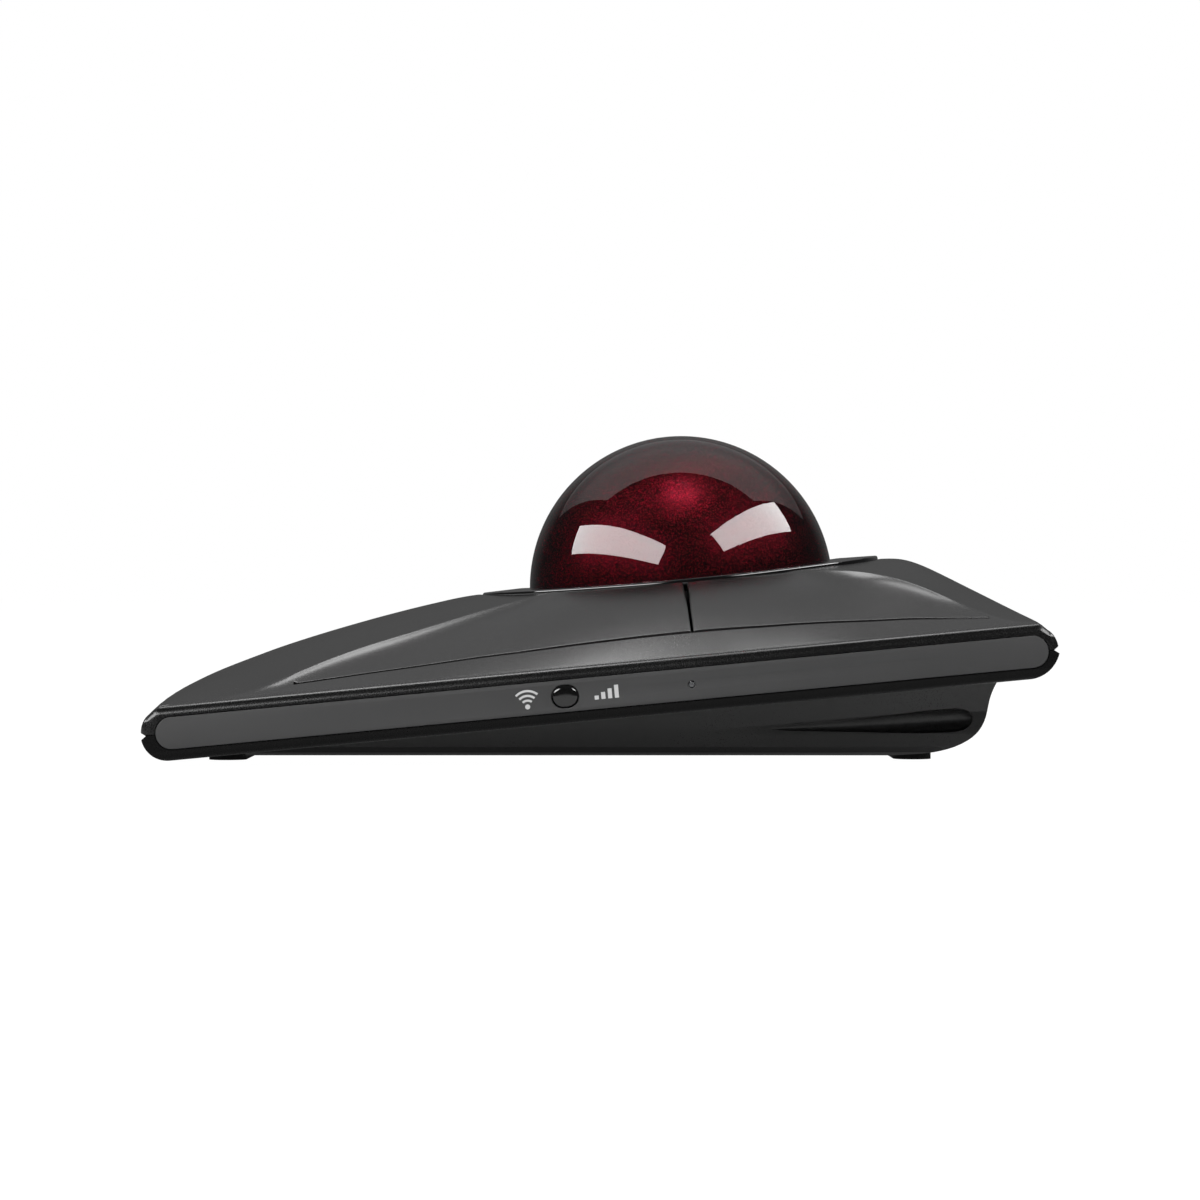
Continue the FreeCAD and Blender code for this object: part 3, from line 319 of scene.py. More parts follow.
def pchip(table, column):
    xs = np.array([r[0] for r in table], float)
    ys = np.array([r[column] for r in table], float)
    h = np.diff(xs)
    d = np.diff(ys) / h
    m = np.zeros(len(xs))
    m[0], m[-1] = d[0], d[-1]
    for i in range(1, len(xs) - 1):
        if d[i - 1] * d[i] > 0:
            a, b = 2 * h[i] + h[i - 1], h[i] + 2 * h[i - 1]
            m[i] = (a + b) / (a / d[i - 1] + b / d[i])

    def at(x):
        x = np.clip(np.asarray(x, float), xs[0], xs[-1])
        i = np.clip(np.searchsorted(xs, x, side="right") - 1, 0, len(xs) - 2)
        s = (x - xs[i]) / h[i]
        return (ys[i] * (1 + 2 * s) * (1 - s) ** 2 + m[i] * h[i] * s * (1 - s) ** 2
                + ys[i + 1] * s * s * (3 - 2 * s) + m[i + 1] * h[i] * s * s * (s - 1))
    return at


SPINE = [(-90, -2.6), (-79, 3.7), (-75.5, 5.7), (-72.7, 7.2), (-68.9, 8.75), (-65.2, 9.9), (-61.4, 10.95), (-57.7, 11.95),
         (-53.9, 12.85), (-50.2, 13.65), (-46.5, 14.4), (-42.8, 15.1), (-39.05, 15.78), (-35.3, 16.4), (-31.6, 16.97),
         (-27.9, 17.48), (-24.2, 17.95), (-20.5, 18.2), (-10, 18.25), (16, 18.2), (45, 18.0), (53.7, 17.75), (56.1, 17.5),
         (57.7, 17.0), (59.6, 16.1), (63.1, 14.0), (66.5, 11.8), (69.9, 9.55), (73.35, 6.9), (76.5, 3.1), (90, -14.0)]
CREASE = [(-90, 63.2, 5.0, 0), (-62, 63.2, 5.0, 0), (-58, 62.0, 5.5, 0), (-55.6, 60.4, 6.2, 0), (-53.2, 58.2, 7.05, 0), (-50, 55.0, 8.2, 0),
          (-43.4, 49.6, 10.2, 0), (-36.6, 45.9, 11.8, 0.02), (-33.2, 44.0, 12.45, 0.06), (-26.4, 40.0, 13.85, 0.2), (-22.9, 37.8, 14.6, 0.27),
          (-15.9, 33.5, 16.0, 0.36), (-10.7, 30.3, 16.85, 0.4), (-7.1, 29.0, 17.3, 0.41), (0, 30.5, 17.6, 0.4), (8, 33.0, 17.72, 0.35),
          (16.4, 34.2, 17.76, 0.31), (25, 33.3, 17.66, 0.31), (30, 31.6, 17.45, 0.34), (35.8, 30.6, 17.15, 0.4), (40, 33.0, 16.95, 0.32),
          (44.9, 37.4, 16.35, 0.1), (49.7, 40.8, 15.25, 0), (52.85, 43.0, 14.15, 0), (55.9, 45.5, 12.75, 0), (58.8, 48.5, 11.1, 0),
          (61.7, 52.0, 9.3, 0), (64.6, 56.0, 7.45, 0), (67.5, 60.0, 6.0, 0), (70.5, 63.2, 5.0, 0), (90, 63.2, 5.0, 0)]
SLOT = [(-60, 59.9), (-52.5, 59.2), (-50, 58.9), (-42, 58.0), (-33, 57.3), (-16, 57.0), (0.8, 57.0), (28, 57.0), (44, 57.0), (51.4, 57.3), (58.1, 58.0),
        (64.6, 59.3), (67.5, 59.9), (75, 61.4)]


def flowing(curve, reach):
    """Evens out a curve over a short reach, so that the gloss runs over it without pleats."""
    at = np.arange(-96.0, 96.01, 0.1)
    wide = np.arange(-4 * reach, 4 * reach + 0.01, 0.1)
    bell = np.exp(-0.5 * (wide / reach) ** 2)
    half = len(wide) // 2
    level = np.asarray(curve(np.clip(at, -89.9, 89.9)), float)
    level = np.convolve(np.pad(level, half, mode="edge"), bell / bell.sum(), mode="valid")[:len(at)]
    return lambda v: np.interp(v, at, level)


spine_at, slot_x = flowing(pchip(SPINE, 1), 1.0), flowing(pchip(SLOT, 1), 2.0)
crease_x, crease_w, bulge_at = (flowing(pchip(CREASE, k), 2.6) for k in (1, 2, 3))
RIM = 4.7
HALF_W, HALF_D, EDGE = 66.0, 76.54, 4.5
BULGE = {-1: 2.8, 1: 1.8}
PHI = {-1: math.radians(51.0), 1: math.radians(45.0)}


def soft_min(a, b, k):
    h = np.maximum(k - np.abs(a - b), 0.0) / k
    return np.minimum(a, b) - h * h * k / 4


def tip(x, end):
    """How far the slab reaches along u at one end, for a place across it."""
    b = BULGE[end]
    big = (HALF_W ** 2 + b * b) / (2 * b)
    return HALF_D + b - (big - np.sqrt(big * big - np.asarray(x, float) ** 2))


def end_top(a, end):
    """Height of the end's rounded edge, a inboard from the tip."""
    phi = PHI[end]
    ax, aw = EDGE * (1 - math.cos(phi)), EDGE * math.sin(phi)
    a = np.maximum(a, 0)
    return np.where(a < ax, np.sqrt(np.maximum(EDGE ** 2 - (EDGE - a) ** 2, 0)), aw + (a - ax) / math.tan(phi))


def end_low(a, end):
    reach = EDGE if end < 0 else 6.0
    return EDGE * np.sqrt(np.maximum(1 - (1 - np.clip(a / reach, 0, 1)) ** 2, 0))


def top_at(x, u):
    """Height of the crown over a place on the slab."""
    x, u = np.asarray(x, float), np.asarray(u, float)
    a = np.abs(x)
    crease = np.interp(u, [-56, -46, 60, 68], [0.2, 0.12, 0.12, 0.2])
    c, xc, wc, g = spine_at(u), crease_x(u), crease_w(u), bulge_at(u)
    spine = c - (c - wc) * (a / xc) ** 2
    ends = np.interp(u, [-64, -54, -25, -8, 34, 46, 58, 66], [0, 1, 1, 0, 0, 1, 1, 0])
    g = g - 0.10 * ends
    t = np.clip((a - xc) / (64.4 - xc), -8, 1)
    middle = RIM + (wc - RIM) * (1 + g) / 2
    facet = np.where(t < 0, wc + 2 * (middle - wc) * t, (1 - t) ** 2 * wc + 2 * t * (1 - t) * middle + t * t * RIM)
    # a fine hollow runs along the foot of the crease
    hollow = np.interp(u, [-64, -54, -14, -4, 32, 42, 58, 66], [0, 0.36, 0.42, 0, 0, 0.30, 0.30, 0]) * np.interp(64.4 - xc, [1.2, 6], [0, 1])
    facet = facet - hollow * 2.2 * (1 - np.exp(-np.maximum(a - xc, 0) / 2.2)) * (1 - np.clip(t, 0, 1)) + np.where(t < 0, hollow * np.minimum(xc - a, 6), 0)
    h = np.where(a - xc > 6, facet, np.where(a - xc < -6, spine, soft_min(spine, facet, crease)))
    h = soft_min(h, end_top(u + tip(np.minimum(a, 65.9), -1), -1), 0.5)
    return soft_min(h, end_top(tip(np.minimum(a, 65.9), 1) - u, 1), 0.5)


def mesh(name, verts, faces, look, body="root", angle=32.0, rings=None):
    """One closed mesh piece riding on a body."""
    me = bpy.data.meshes.new(name)
    bm = bmesh.new()
    vs = [bm.verts.new(v) for v in np.asarray(verts, float)]
    for f in faces:
        ring = []
        for k in f:
            if not ring or vs[k] is not ring[-1]:
                ring.append(vs[k])
        if len(ring) > 2:
            try:
                bm.faces.new(ring)
            except ValueError:
                pass
    bmesh.ops.remove_doubles(bm, verts=bm.verts, dist=2e-7)
    bmesh.ops.dissolve_degenerate(bm, edges=bm.edges, dist=1e-7)
    loose = [v for v in bm.verts if not v.link_faces]
    bmesh.ops.delete(bm, geom=loose, context="VERTS")
    bmesh.ops.recalc_face_normals(bm, faces=bm.faces)
    bm.to_mesh(me)
    bm.free()
    me.polygons.foreach_set("use_smooth", [True] * len(me.polygons))
    me.set_sharp_from_angle(angle=math.radians(angle))
    ob = bpy.data.objects.new(name, me)
    scene.collection.objects.link(ob)
    me.materials.append(look)
    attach(ob, body)
    return ob


def grid(nr, nc, first=0, wrap_r=False, wrap_c=False, flip=False):
    faces = []
    for i in range(nr if wrap_r else nr - 1):
        for j in range(nc if wrap_c else nc - 1):
            a, b = first + i * nc + j, first + i * nc + (j + 1) % nc
            c, d = first + ((i + 1) % nr) * nc + (j + 1) % nc, first + ((i + 1) % nr) * nc + j
            faces.append((a, d, c, b) if flip else (a, b, c, d))
    return faces


def graded(near, n, far=None):
    """Fractions from 0 to 1: given ones near 0, n even steps, and given ones near 1."""
    far = near if far is None else far
    lo, hi = near[-1], 1 - far[-1]
    return np.array(list(near) + list(np.linspace(lo, hi, n + 2)[1:-1]) + [1 - v for v in reversed(far)])


def along(points, fractions):
    """Points at fractions of a polyline's length."""
    p = np.asarray(points, float)
    s = np.concatenate([[0], np.cumsum(np.linalg.norm(np.diff(p, axis=0), axis=1))])
    f = np.asarray(fractions) * s[-1]
    return np.stack([np.interp(f, s, p[:, k]) for k in range(p.shape[1])], -1)


def coons(c0, c1, d0, d1, s, t):
    """A patch between curves c0, c1 (along s, at t = 0 and 1) and d0, d1 (along t, at s = 0 and 1). Rows are t, columns s."""
    S, T = np.meshgrid(s, t)
    S, T = S[..., None], T[..., None]
    lines = (1 - T) * c0[None] + T * c1[None] + (1 - S) * d0[:, None] + S * d1[:, None]
    corners = (1 - S) * (1 - T) * c0[0] + S * (1 - T) * c0[-1] + (1 - S) * T * c1[0] + S * T * c1[-1]
    return lines - corners


def round_over(d, r):
    """How far a rounded edge drops at a distance inside it."""
    d = np.clip(d, 0, r)
    return r - np.sqrt(np.maximum(r * r - (r - d) ** 2, 0))


# ---------------------------------------------------------------- buttons
RING_IN = 36.45
BALL_U = 16.32
HINGE = {-1: -51.0, 1: 66.0}


def seam_gap(x):
    """Half the width of the side seam, which narrows outwards."""
    return np.interp(np.abs(x), [36, 42, 48, 57], [0.34, 0.30, 0.17, 0.14])


def button(end):
    """Plan grid and heights of the right-hand button at one end: front is -1."""
    hinge = HINGE[end]
    # crease from the ring to the hinge line
    uu = np.linspace(-12, 2, 1400) if end < 0 else np.linspace(30, 44, 1400)
    gap = np.hypot(crease_x(uu), uu - BALL_U) - RING_IN
    cross = np.where(np.diff(np.sign(gap)) != 0)[0]
    u_in = uu[cross[0] if end < 0 else cross[-1]]
    cu = np.linspace(u_in, hinge, 400)
    crease = np.stack([crease_x(cu), cu], -1)
    th_crease = math.atan2(u_in - BALL_U, float(crease_x(u_in)))
    crease[0] = (RING_IN * math.cos(th_crease), BALL_U + RING_IN * math.sin(th_crease))
    th_centre = end * math.acos(0.25 / RING_IN)
    th_side = end * math.asin(0.34 / RING_IN)
    arc = lambda a, b: np.stack([RING_IN * np.cos(np.linspace(a, b, 300)), BALL_U + RING_IN * np.sin(np.linspace(a, b, 300))], -1)
    edge = 0.002
    t = graded([0, 0.0010, 0.0028, 0.0055, 0.010, 0.02], 74, [0, 0.0008, 0.0022, 0.0045, 0.009, 0.018])
    s_a = graded([0, 0.0012, 0.0036, 0.008, 0.016], 46, [0, 0.004, 0.010, 0.018, 0.03])
    s_b = graded([0, 0.004, 0.010, 0.018, 0.03], 54, [0, 0.0020, 0.006, 0.013, 0.025])
    line_crease = along(crease, t)
    # spine side: from the centre seam to the crease
    seam_line = along([(0.25, BALL_U + RING_IN * math.sin(th_centre)), (0.25, hinge)], t)
    spine_in = along(arc(th_centre, th_crease), s_a)
    spine_out = along([(0.25, hinge), tuple(crease[-1])], s_a)
    A = coons(spine_in, spine_out, seam_line, line_crease, s_a, t)
    # facet side: from the crease to the side seam
    us = np.linspace(hinge, 16.4 + end * 0.14, 400)
    outer = [tuple(crease[-1])] + [(float(slot_x(v)) - 0.225, v) for v in us]
    facet_out = along(outer, s_b)
    facet_in = along(arc(th_crease, th_side), s_b)
    start = facet_in[-1]
    xs = np.linspace(start[0], outer[-1][0], 200)
    side = np.stack([xs, 16.4 + end * seam_gap(xs)], -1)
    side[0], side[-1] = start, outer[-1]
    side_line = along(side, t)
    B = coons(facet_in, facet_out, line_crease, side_line, s_b, t)
    P = np.concatenate([A, B[:, 1:]], axis=1)
    x, u = P[..., 0], P[..., 1]
    w = top_at(x, u)
    d_ring = np.hypot(x, u - BALL_U) - RING_IN
    d_slot = (slot_x(u) - 0.225) - x
    d_seam = x - 0.25
    d_side = np.abs(u - 16.4) - seam_gap(x)
    drop = np.maximum.reduce([round_over(d_ring, 0.30), round_over(d_slot, 0.14), round_over(d_seam, 0.3),
                              np.where(x > 36, round_over(d_side, 0.35), 0)])
    return x, u, w - drop, top_at(x, u)


def build_button(end, side):
    x, u, w, h = button(end)
    nr, nc = x.shape
    verts = [row(side * x, u, w).reshape(-1, 3)]
    faces = grid(nr, nc, flip=(side * end > 0))
    edge = [(0, j) for j in range(nc)] + [(i, nc - 1) for i in range(1, nr)] + [(nr - 1, j) for j in range(nc - 2, -1, -1)] + [(i, 0) for i in range(nr - 2, 0, -1)]
    first = nr * nc
    ring = [i * nc + j for i, j in edge]
    rx, ru, rh = (np.array([a[i, j] for i, j in edge]) for a in (x, u, h))
    for depth in (1.0, 2.0):
        verts.append(row(side * rx, ru, rh - depth))
        new = [first + k for k in range(len(edge))]
        for k in range(len(edge)):
            m = (k + 1) % len(edge)
            faces.append((ring[k], ring[m], new[m], new[k]))
        ring, first = new, first + len(edge)
    faces.append(tuple(reversed(ring)))
    name = "%s_%s_button" % ("front" if end < 0 else "rear", "right" if side > 0 else "left")
    ob = mesh(name + "_cap", np.concatenate(verts), faces, BUTTON, name[:-7].replace("_", "_") + "_button")
    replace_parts(ob, "button_" + name[:-7])
    return ob


for end in (-1, 1):
    for side in (1, -1):
        build_button(end, side)

# ---------------------------------------------------------------- plan outline of the slab, for the shell builder; only the top cover's shell is built from it
STRIP_MID, STRIP_R = 0.065, 2.815
STRIP_ENDS = (-74.2, 74.9)
CORNER = 1.5


def outline():
    """Columns round the slab: kind, side sign, end sign, place along the side or end, angle round the corner."""
    cols = []
    lo, hi = -(float(tip(HALF_W - CORNER, -1)) - CORNER), float(tip(HALF_W - CORNER, 1)) - CORNER
    a = [math.radians(v) for v in (0, 12, 24, 35, 46, 56, 65, 73, 80, 85, 88.5, 90)]
    front = [STRIP_ENDS[0] + STRIP_R - STRIP_R * math.sin(v) for v in a]
    rear = [STRIP_ENDS[1] - STRIP_R + STRIP_R * math.sin(v) for v in a]
    mid = [-51.0, -50.97, -50.7] + list(np.linspace(-50.3, 65.3, 150)) + [65.7, 65.97, 66.0]
    lead = list(np.linspace(front[0], mid[0], 44))[1:-1]
    tail = list(np.linspace(mid[-1], rear[0], 16))[1:-1]
    side = [lo, (lo + front[-1]) / 2 - 0.15, front[-1] - 0.012] + front[::-1] + lead + mid + tail + rear + [rear[-1] + 0.012, (hi + rear[-1]) / 2 + 0.02, hi]
    fine = list(np.linspace(51.0, HALF_W - CORNER, 40))
    across = [-v for v in reversed(fine)] + list(np.linspace(-51.0, 51.0, 66))[1:-1] + fine
    turn = [math.radians(v) for v in np.linspace(0, 90, 9)]
    for u in side:
        cols.append(("side", 1, 0, u, 0.0))
    for v in turn[1:-1]:
        cols.append(("corner", 1, 1, 0.0, v))
    for x in reversed(across):
        cols.append(("end", 0, 1, x, 0.0))
    for v in reversed(turn[1:-1]):
        cols.append(("corner", -1, 1, 0.0, v))
    for u in reversed(side):
        cols.append(("side", -1, 0, u, 0.0))
    for v in turn[1:-1]:
        cols.append(("corner", -1, -1, 0.0, v))
    for x in across:
        cols.append(("end", 0, -1, x, 0.0))
    for v in reversed(turn[1:-1]):
        cols.append(("corner", 1, -1, 0.0, v))
    return cols


COLS = outline()


def at_inset(col, d):
    """The plan point at a distance inside the outline, on one column."""
    kind, side, end, place, turn = col
    if kind == "side":
        return side * (HALF_W - d), place
    if kind == "end":
        return place, end * (float(tip(place, end)) - d)
    cx = HALF_W - CORNER
    cu = float(tip(cx, end)) - CORNER
    return side * (cx + (CORNER - d) * math.cos(turn)), end * (cu + (CORNER - d) * math.sin(turn))


def strip_edge(u, upper):
    """Height of the strip pocket's edge at a station, or none beyond its ends."""
    if u < STRIP_ENDS[0] - 1e-6 or u > STRIP_ENDS[1] + 1e-6:
        return None
    reach = max(STRIP_ENDS[0] + STRIP_R - u, u - STRIP_ENDS[1] + STRIP_R, 0.0)
    rise = math.sqrt(max(STRIP_R ** 2 - reach ** 2, 0.0))
    return STRIP_MID + rise if upper else max(0.02, rise - STRIP_MID)


def rim_profile(col, upper):
    """Inset and height of the rows from the parting line over the rim, on one column."""
    kind, side, end, place, turn = col
    turns = np.radians([8, 18, 30, 42, 54, 66, 76, 84.6])
    tall = 1.8 if upper else 1.6

    def side_rows(u):
        p = strip_edge(u, upper)
        if p is None:
            start = [(0.30, 0.0), (0.15, 0.05), (0.05, 0.09), (0.0, 0.15)]
        else:
            start = [(1.2, 0.0), (1.2, p), (0.07, p), (0.0, p + 0.07)]
        ends = -1 if u < 0 else 1
        a = float(tip(HALF_W - CORNER, ends)) - ends * u
        fit = end_top(a, ends) / RIM if upper else end_low(a, ends) / EDGE
        fit = min(1.0, float(fit))
        rows = [(1.6 * (1 - math.cos(v)), (2.97 + (tall - 0.07) * math.sin(v)) * fit) for v in turns]
        low = start[-1][1] + 0.01
        return start + [(b, max(w, low)) for b, w in rows]

    def end_rows(e):
        reach = EDGE if (upper or e < 0) else 6.0
        top = math.acos(1 - 1.452 / reach)
        a0 = math.asin(0.6 / EDGE)
        start = [(0.85, 0.0), (0.50, 0.26), (0.12, 0.53), (0.05, 0.61)]
        rows = []
        for k in range(1, len(turns) + 1):
            v = a0 + (top - a0) * k / len(turns)
            rows.append((reach * (1 - math.cos(v)), EDGE * math.sin(v)))
        return start + rows

    if kind == "side":
        return side_rows(place)
    if kind == "end":
        return end_rows(end)
    s = turn / (math.pi / 2)
    s = s * s * (3 - 2 * s)
    u = end * (float(tip(HALF_W - CORNER, end)) - CORNER)
    a, b = side_rows(u), end_rows(end)
    return [(p[0] * (1 - s) + q[0] * s, p[1] * (1 - s) + q[1] * s) for p, q in zip(a, b)]


def inner_loop(col, loop):
    """Where a column meets the opening: a rectangle with curved sides and rounded corners."""
    kind, side, end, place, turn = col
    x_of, lo, hi, r = loop
    if kind == "side" and lo + r <= place <= hi - r:
        return side * x_of(place), place
    if kind == "end" and abs(place) <= x_of(hi if end > 0 else lo) - r:
        return place, hi if end > 0 else lo
    if kind == "side":
        end = 1 if place > 0 else -1
    if kind == "end":
        side = 1 if place > 0 else -1
    far = hi if end > 0 else lo
    cx, cu = x_of(far) - r, far - end * r
    ox, ou = at_inset(col, 1.45)
    # share the corner's arc among the columns that fan into it
    a_side = np.array([at_inset(("side", side, 0, cu, 0), 1.45)[0] * side - cx, 0.0])
    v = np.array([side * ox - cx, end * (ou - cu)])
    lim = np.array([HALF_W - 1.45 - cx, float(tip(cx, end)) - 1.45 - end * cu])
    q = v / lim
    angle = math.atan2(max(q[1], 0.0), max(q[0], 0.0))
    return side * (cx + r * math.cos(angle)), cu + end * r * math.sin(angle)


def shell_mesh(name, upper, loop, steps, look, edge_r, floor=None):
    sgn = 1 if upper else -1
    n = len(COLS)
    rows = []
    rims = [rim_profile(c, upper) for c in COLS]
    for k in range(len(rims[0])):
        rows.append([at_inset(c, rims[j][k][0]) + (sgn * rims[j][k][1],) for j, c in enumerate(COLS)])
    start = [at_inset(c, 1.45) for c in COLS]
    stop = [inner_loop(c, loop) for c in COLS]
    S, E = np.array(start), np.array(stop)
    L = np.maximum(np.hypot(*(E - S).T), 1e-6)
    last = np.array([r[-1][1] for r in rims])

    def height(P):
        if upper:
            return top_at(P[:, 0], P[:, 1])
        a = np.minimum(np.abs(P[:, 0]), 65.9)
        return -np.minimum(end_low(P[:, 1] + tip(a, -1), -1), end_low(tip(a, 1) - P[:, 1], 1))

    near = [0.75, 0.4, 0.32, 0.2, 0.1, 0.035, 0.0] if edge_r else [0.0]
    on_side = np.array([1.0 if c[0] == "side" and loop[1] + 0.02 < c[3] < loop[2] - 0.02 else 0.0 for c in COLS])
    cut_at = np.maximum(L - (1.1 if edge_r else 0.0), 0.3 * L)
    for q in steps[1:]:
        P = S + (E - S) * (q * cut_at / L)[:, None]
        h = height(P)
        ease = np.clip(1 - q * 6, 0, 1)
        rise = last * sgn - height(S)
        rows.append([(P[j, 0], P[j, 1], h[j] + rise[j] * ease) for j in range(n)])
    for d in near if edge_r else []:
        P = E - (E - S) * (np.minimum(d, 0.3 * L) / L)[:, None]
        h = height(P) - sgn * round_over(np.full(n, float(d)), edge_r) * on_side
        rows.append([(P[j, 0], P[j, 1], h[j]) for j in range(n)])
    wall = height(E)
    for depth in (1.0, 2.0):
        rows.append([(E[j, 0], E[j, 1], wall[j] - sgn * depth) for j in range(n)])
    inset = np.array([at_inset(c, 3.7) if c[0] != "corner" else at_inset(c, 3.7 - 3.0) for c in COLS])
    inset[:, 0] = np.clip(inset[:, 0], -62.3, 62.3)
    inset[:, 1] = np.clip(inset[:, 1], -72.6, 72.6)
    for q in (0.35, 0.7, 1.0):
        P = E + (inset - E) * q
        h = height(P) - sgn * 2.0
        rows.append([(P[j, 0], P[j, 1], h[j]) for j in range(n)])
    rows.append([(inset[j, 0], inset[j, 1], 0.0) for j in range(n)])
    V = np.array(rows)
    verts = row(V[..., 0], V[..., 1], V[..., 2]).reshape(-1, 3)
    faces = grid(len(rows), n, wrap_r=True, wrap_c=True)
    return mesh(name, verts, faces, look, "root")


cover_steps = [0, 0.012, 0.03, 0.055, 0.085, 0.12, 0.155] + list(np.linspace(0.19, 1.0, 34))
cover = shell_mesh("top_cover_shell", True, (lambda u: float(slot_x(u)) + 0.225, HINGE[-1], HINGE[1], 0.02), cover_steps, COVER, 0.3)
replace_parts(cover, "top_cover")


# ---------------------------------------------------------------- bezel ring, a saddle that follows the crown
def bezel():
    turns = 300
    prof = [(35.1, None, 15.4), (36.0, None, 16.4), (36.0, -0.42, None), (35.97, -0.25, None), (35.88, -0.11, None), (35.75, -0.03, None), (35.58, 0.0, None),
            (34.6, 0.03, None), (32.6, 0.08, None), (30.4, 0.13, None), (29.2, 0.16, None), (28.75, 0.16, None), (28.5, 0.14, None), (28.25, 0.05, None),
            (28.07, -0.12, None), (28.0, -0.35, None), (28.0, None, 15.4)]
    k = np.arange(turns) * 2 * math.pi / turns
    V = []
    for r, off, at in prof:
        x, u = r * np.cos(k), BALL_U + r * np.sin(k)
        w = np.full(turns, at) if off is None else 18.45 - 0.95 * (36.0 * np.cos(k) / 36.0) ** 2 + off
        V.append(np.stack([x, u, w], -1))
    V = np.array(V)
    return mesh("bezel_trim", row(V[..., 0], V[..., 1], V[..., 2]).reshape(-1, 3), grid(len(prof), turns, wrap_r=True, wrap_c=True), GLOSS, "root", 50)


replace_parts(bezel(), "bezel_ring")


# ---------------------------------------------------------------- ball: the clear outer cast over the flake layer
def globe(name, radius, look, body, n=96):
    verts, faces = [], []
    for i in range(n + 1):
        th = math.pi * i / n
        for j in range(2 * n):
            ph = math.pi * j / n
            verts.append((radius * math.sin(th) * math.cos(ph), BALL_U + radius * math.sin(th) * math.sin(ph), 16.01 + radius * math.cos(th)))
    V = np.array(verts)
    return mesh(name, row(V[:, 0], V[:, 1], V[:, 2]), grid(n + 1, 2 * n, wrap_c=True), look, body, 60)


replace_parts(globe("ball_resin_cast", 27.5, BALL_CLEAR, "ball"), "ball_shell")
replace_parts(globe("ball_flake_cast", 24.4, BALL_FLAKE, "ball_roll_side"), "ball_flake_layer")


# ---------------------------------------------------------------- side strips: bevelled plates let into the slab's sides
def stadium_points(u0, u1, r, mid, n=20):
    """A closed loop with round ends, in the plane of the strip (u, w)."""
    pts = []
    for c, a0 in ((u1 - r, -90), (u0 + r, 90)):
        pts += [(c + r * math.cos(math.radians(a0 + 180 * k / n)), mid + r * math.sin(math.radians(a0 + 180 * k / n))) for k in range(n + 1)]
    return pts


def plate(name, loops, x_back, x_front, bevel, look, body, side, replaced):
    """A flat plate from closed loops, the first its outline and the others holes, with a fine bevel round each."""
    cu = bpy.data.curves.new(name + "_curve", "CURVE")
    cu.dimensions, cu.fill_mode = "2D", "BOTH"
    cu.extrude = (x_front - x_back) / 2 * MM - bevel * MM
    cu.bevel_depth, cu.bevel_resolution, cu.offset = bevel * MM, 3, -bevel * MM
    for pts in loops:
        sp = cu.splines.new("POLY")
        sp.points.add(len(pts) - 1)
        for p, (u, w) in zip(sp.points, pts):
            p.co = (u * MM, w * MM, 0, 1)
        sp.use_cyclic_u = True
    tmp = bpy.data.objects.new(name + "_tmp", cu)
    scene.collection.objects.link(tmp)
    bpy.context.view_layer.update()
    me = bpy.data.meshes.new_from_object(tmp.evaluated_get(bpy.context.evaluated_depsgraph_get()))
    bpy.data.objects.remove(tmp)
    co = np.array([v.co for v in me.vertices], float) / MM
    out = row(side * ((x_back + x_front) / 2 + co[:, 2]), co[:, 0], co[:, 1])
    faces = [tuple(p.vertices) for p in me.polygons]
    bpy.data.meshes.remove(me)
    ob = mesh(name, out, faces, look, body, 25)
    if replaced:
        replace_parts(ob, replaced)
    return ob


GAP = 0.13
outline_r = stadium_points(STRIP_ENDS[0] + GAP, STRIP_ENDS[1] - GAP, STRIP_R - GAP, STRIP_MID)
dpi_hole = stadium_points(-5.8 - 2.28, -5.8 + 2.28, 1.93, 0.0)
light_hole = stadium_points(15.3 - 0.62, 15.3 + 0.62, 0.619, 0.0, 12)
plate("strip_right_trim", [outline_r, dpi_hole, light_hole], 64.83, 66.0, 0.14, STRIP, "root", 1, "side_strip_right")
knob_hole = [(-5.8 + a, b) for a, b in ((-3.85, -1.2), (3.85, -1.2), (3.85, 1.2), (-3.85, 1.2))]
plate("strip_left_trim", [outline_r, knob_hole], 64.83, 66.0, 0.14, STRIP, "root", -1, "side_strip_left")


def dome(name, u, long, high, levels, look, body, side=1):
    """A cap with round ends: each level is an inset and a distance out along x."""
    n = 28
    rows = []
    for inset, x in levels:
        r = high / 2 - inset
        rows.append([(x, p, q) for p, q in stadium_points(u - long / 2 + inset, u + long / 2 - inset, max(r, 0.02), 0.0, n)])
    V = np.array(rows)
    nc = V.shape[1]
    faces = grid(len(rows), nc, wrap_c=True)
    faces.append(tuple(range(nc)))
    faces.append(tuple(reversed(range((len(rows) - 1) * nc, len(rows) * nc))))
    return mesh(name, row(side * V[..., 0], V[..., 1], V[..., 2]).reshape(-1, 3), faces, look, body, 40)


cap = dome("resolution_cap", -5.8, 4.2, 3.5, [(0, 62.7), (0, 65.95), (0.03, 66.08), (0.10, 66.19), (0.22, 66.28), (0.40, 66.34), (0.70, 66.38),
                                              (1.1, 66.395), (1.5, 66.4), (1.73, 66.4)], GLOSS, "resolution_button")
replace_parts(cap, "resolution_button")
lens = dome("status_light_lens", 15.3, 1.2, 1.199, [(0, 59.9), (0, 65.55), (0.05, 65.62), (0.14, 65.68), (0.28, 65.73), (0.42, 65.755), (0.55, 65.76)], OPTIC, "root")
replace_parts(lens, "status_light_pipe")

# ---------------------------------------------------------------- printed marks on the right strip: generic radio arcs and rising bars
INK = plastic("printed_mark", grey(176), 0.5, grain=9000.0, depth=0.000002, wear=0.0)


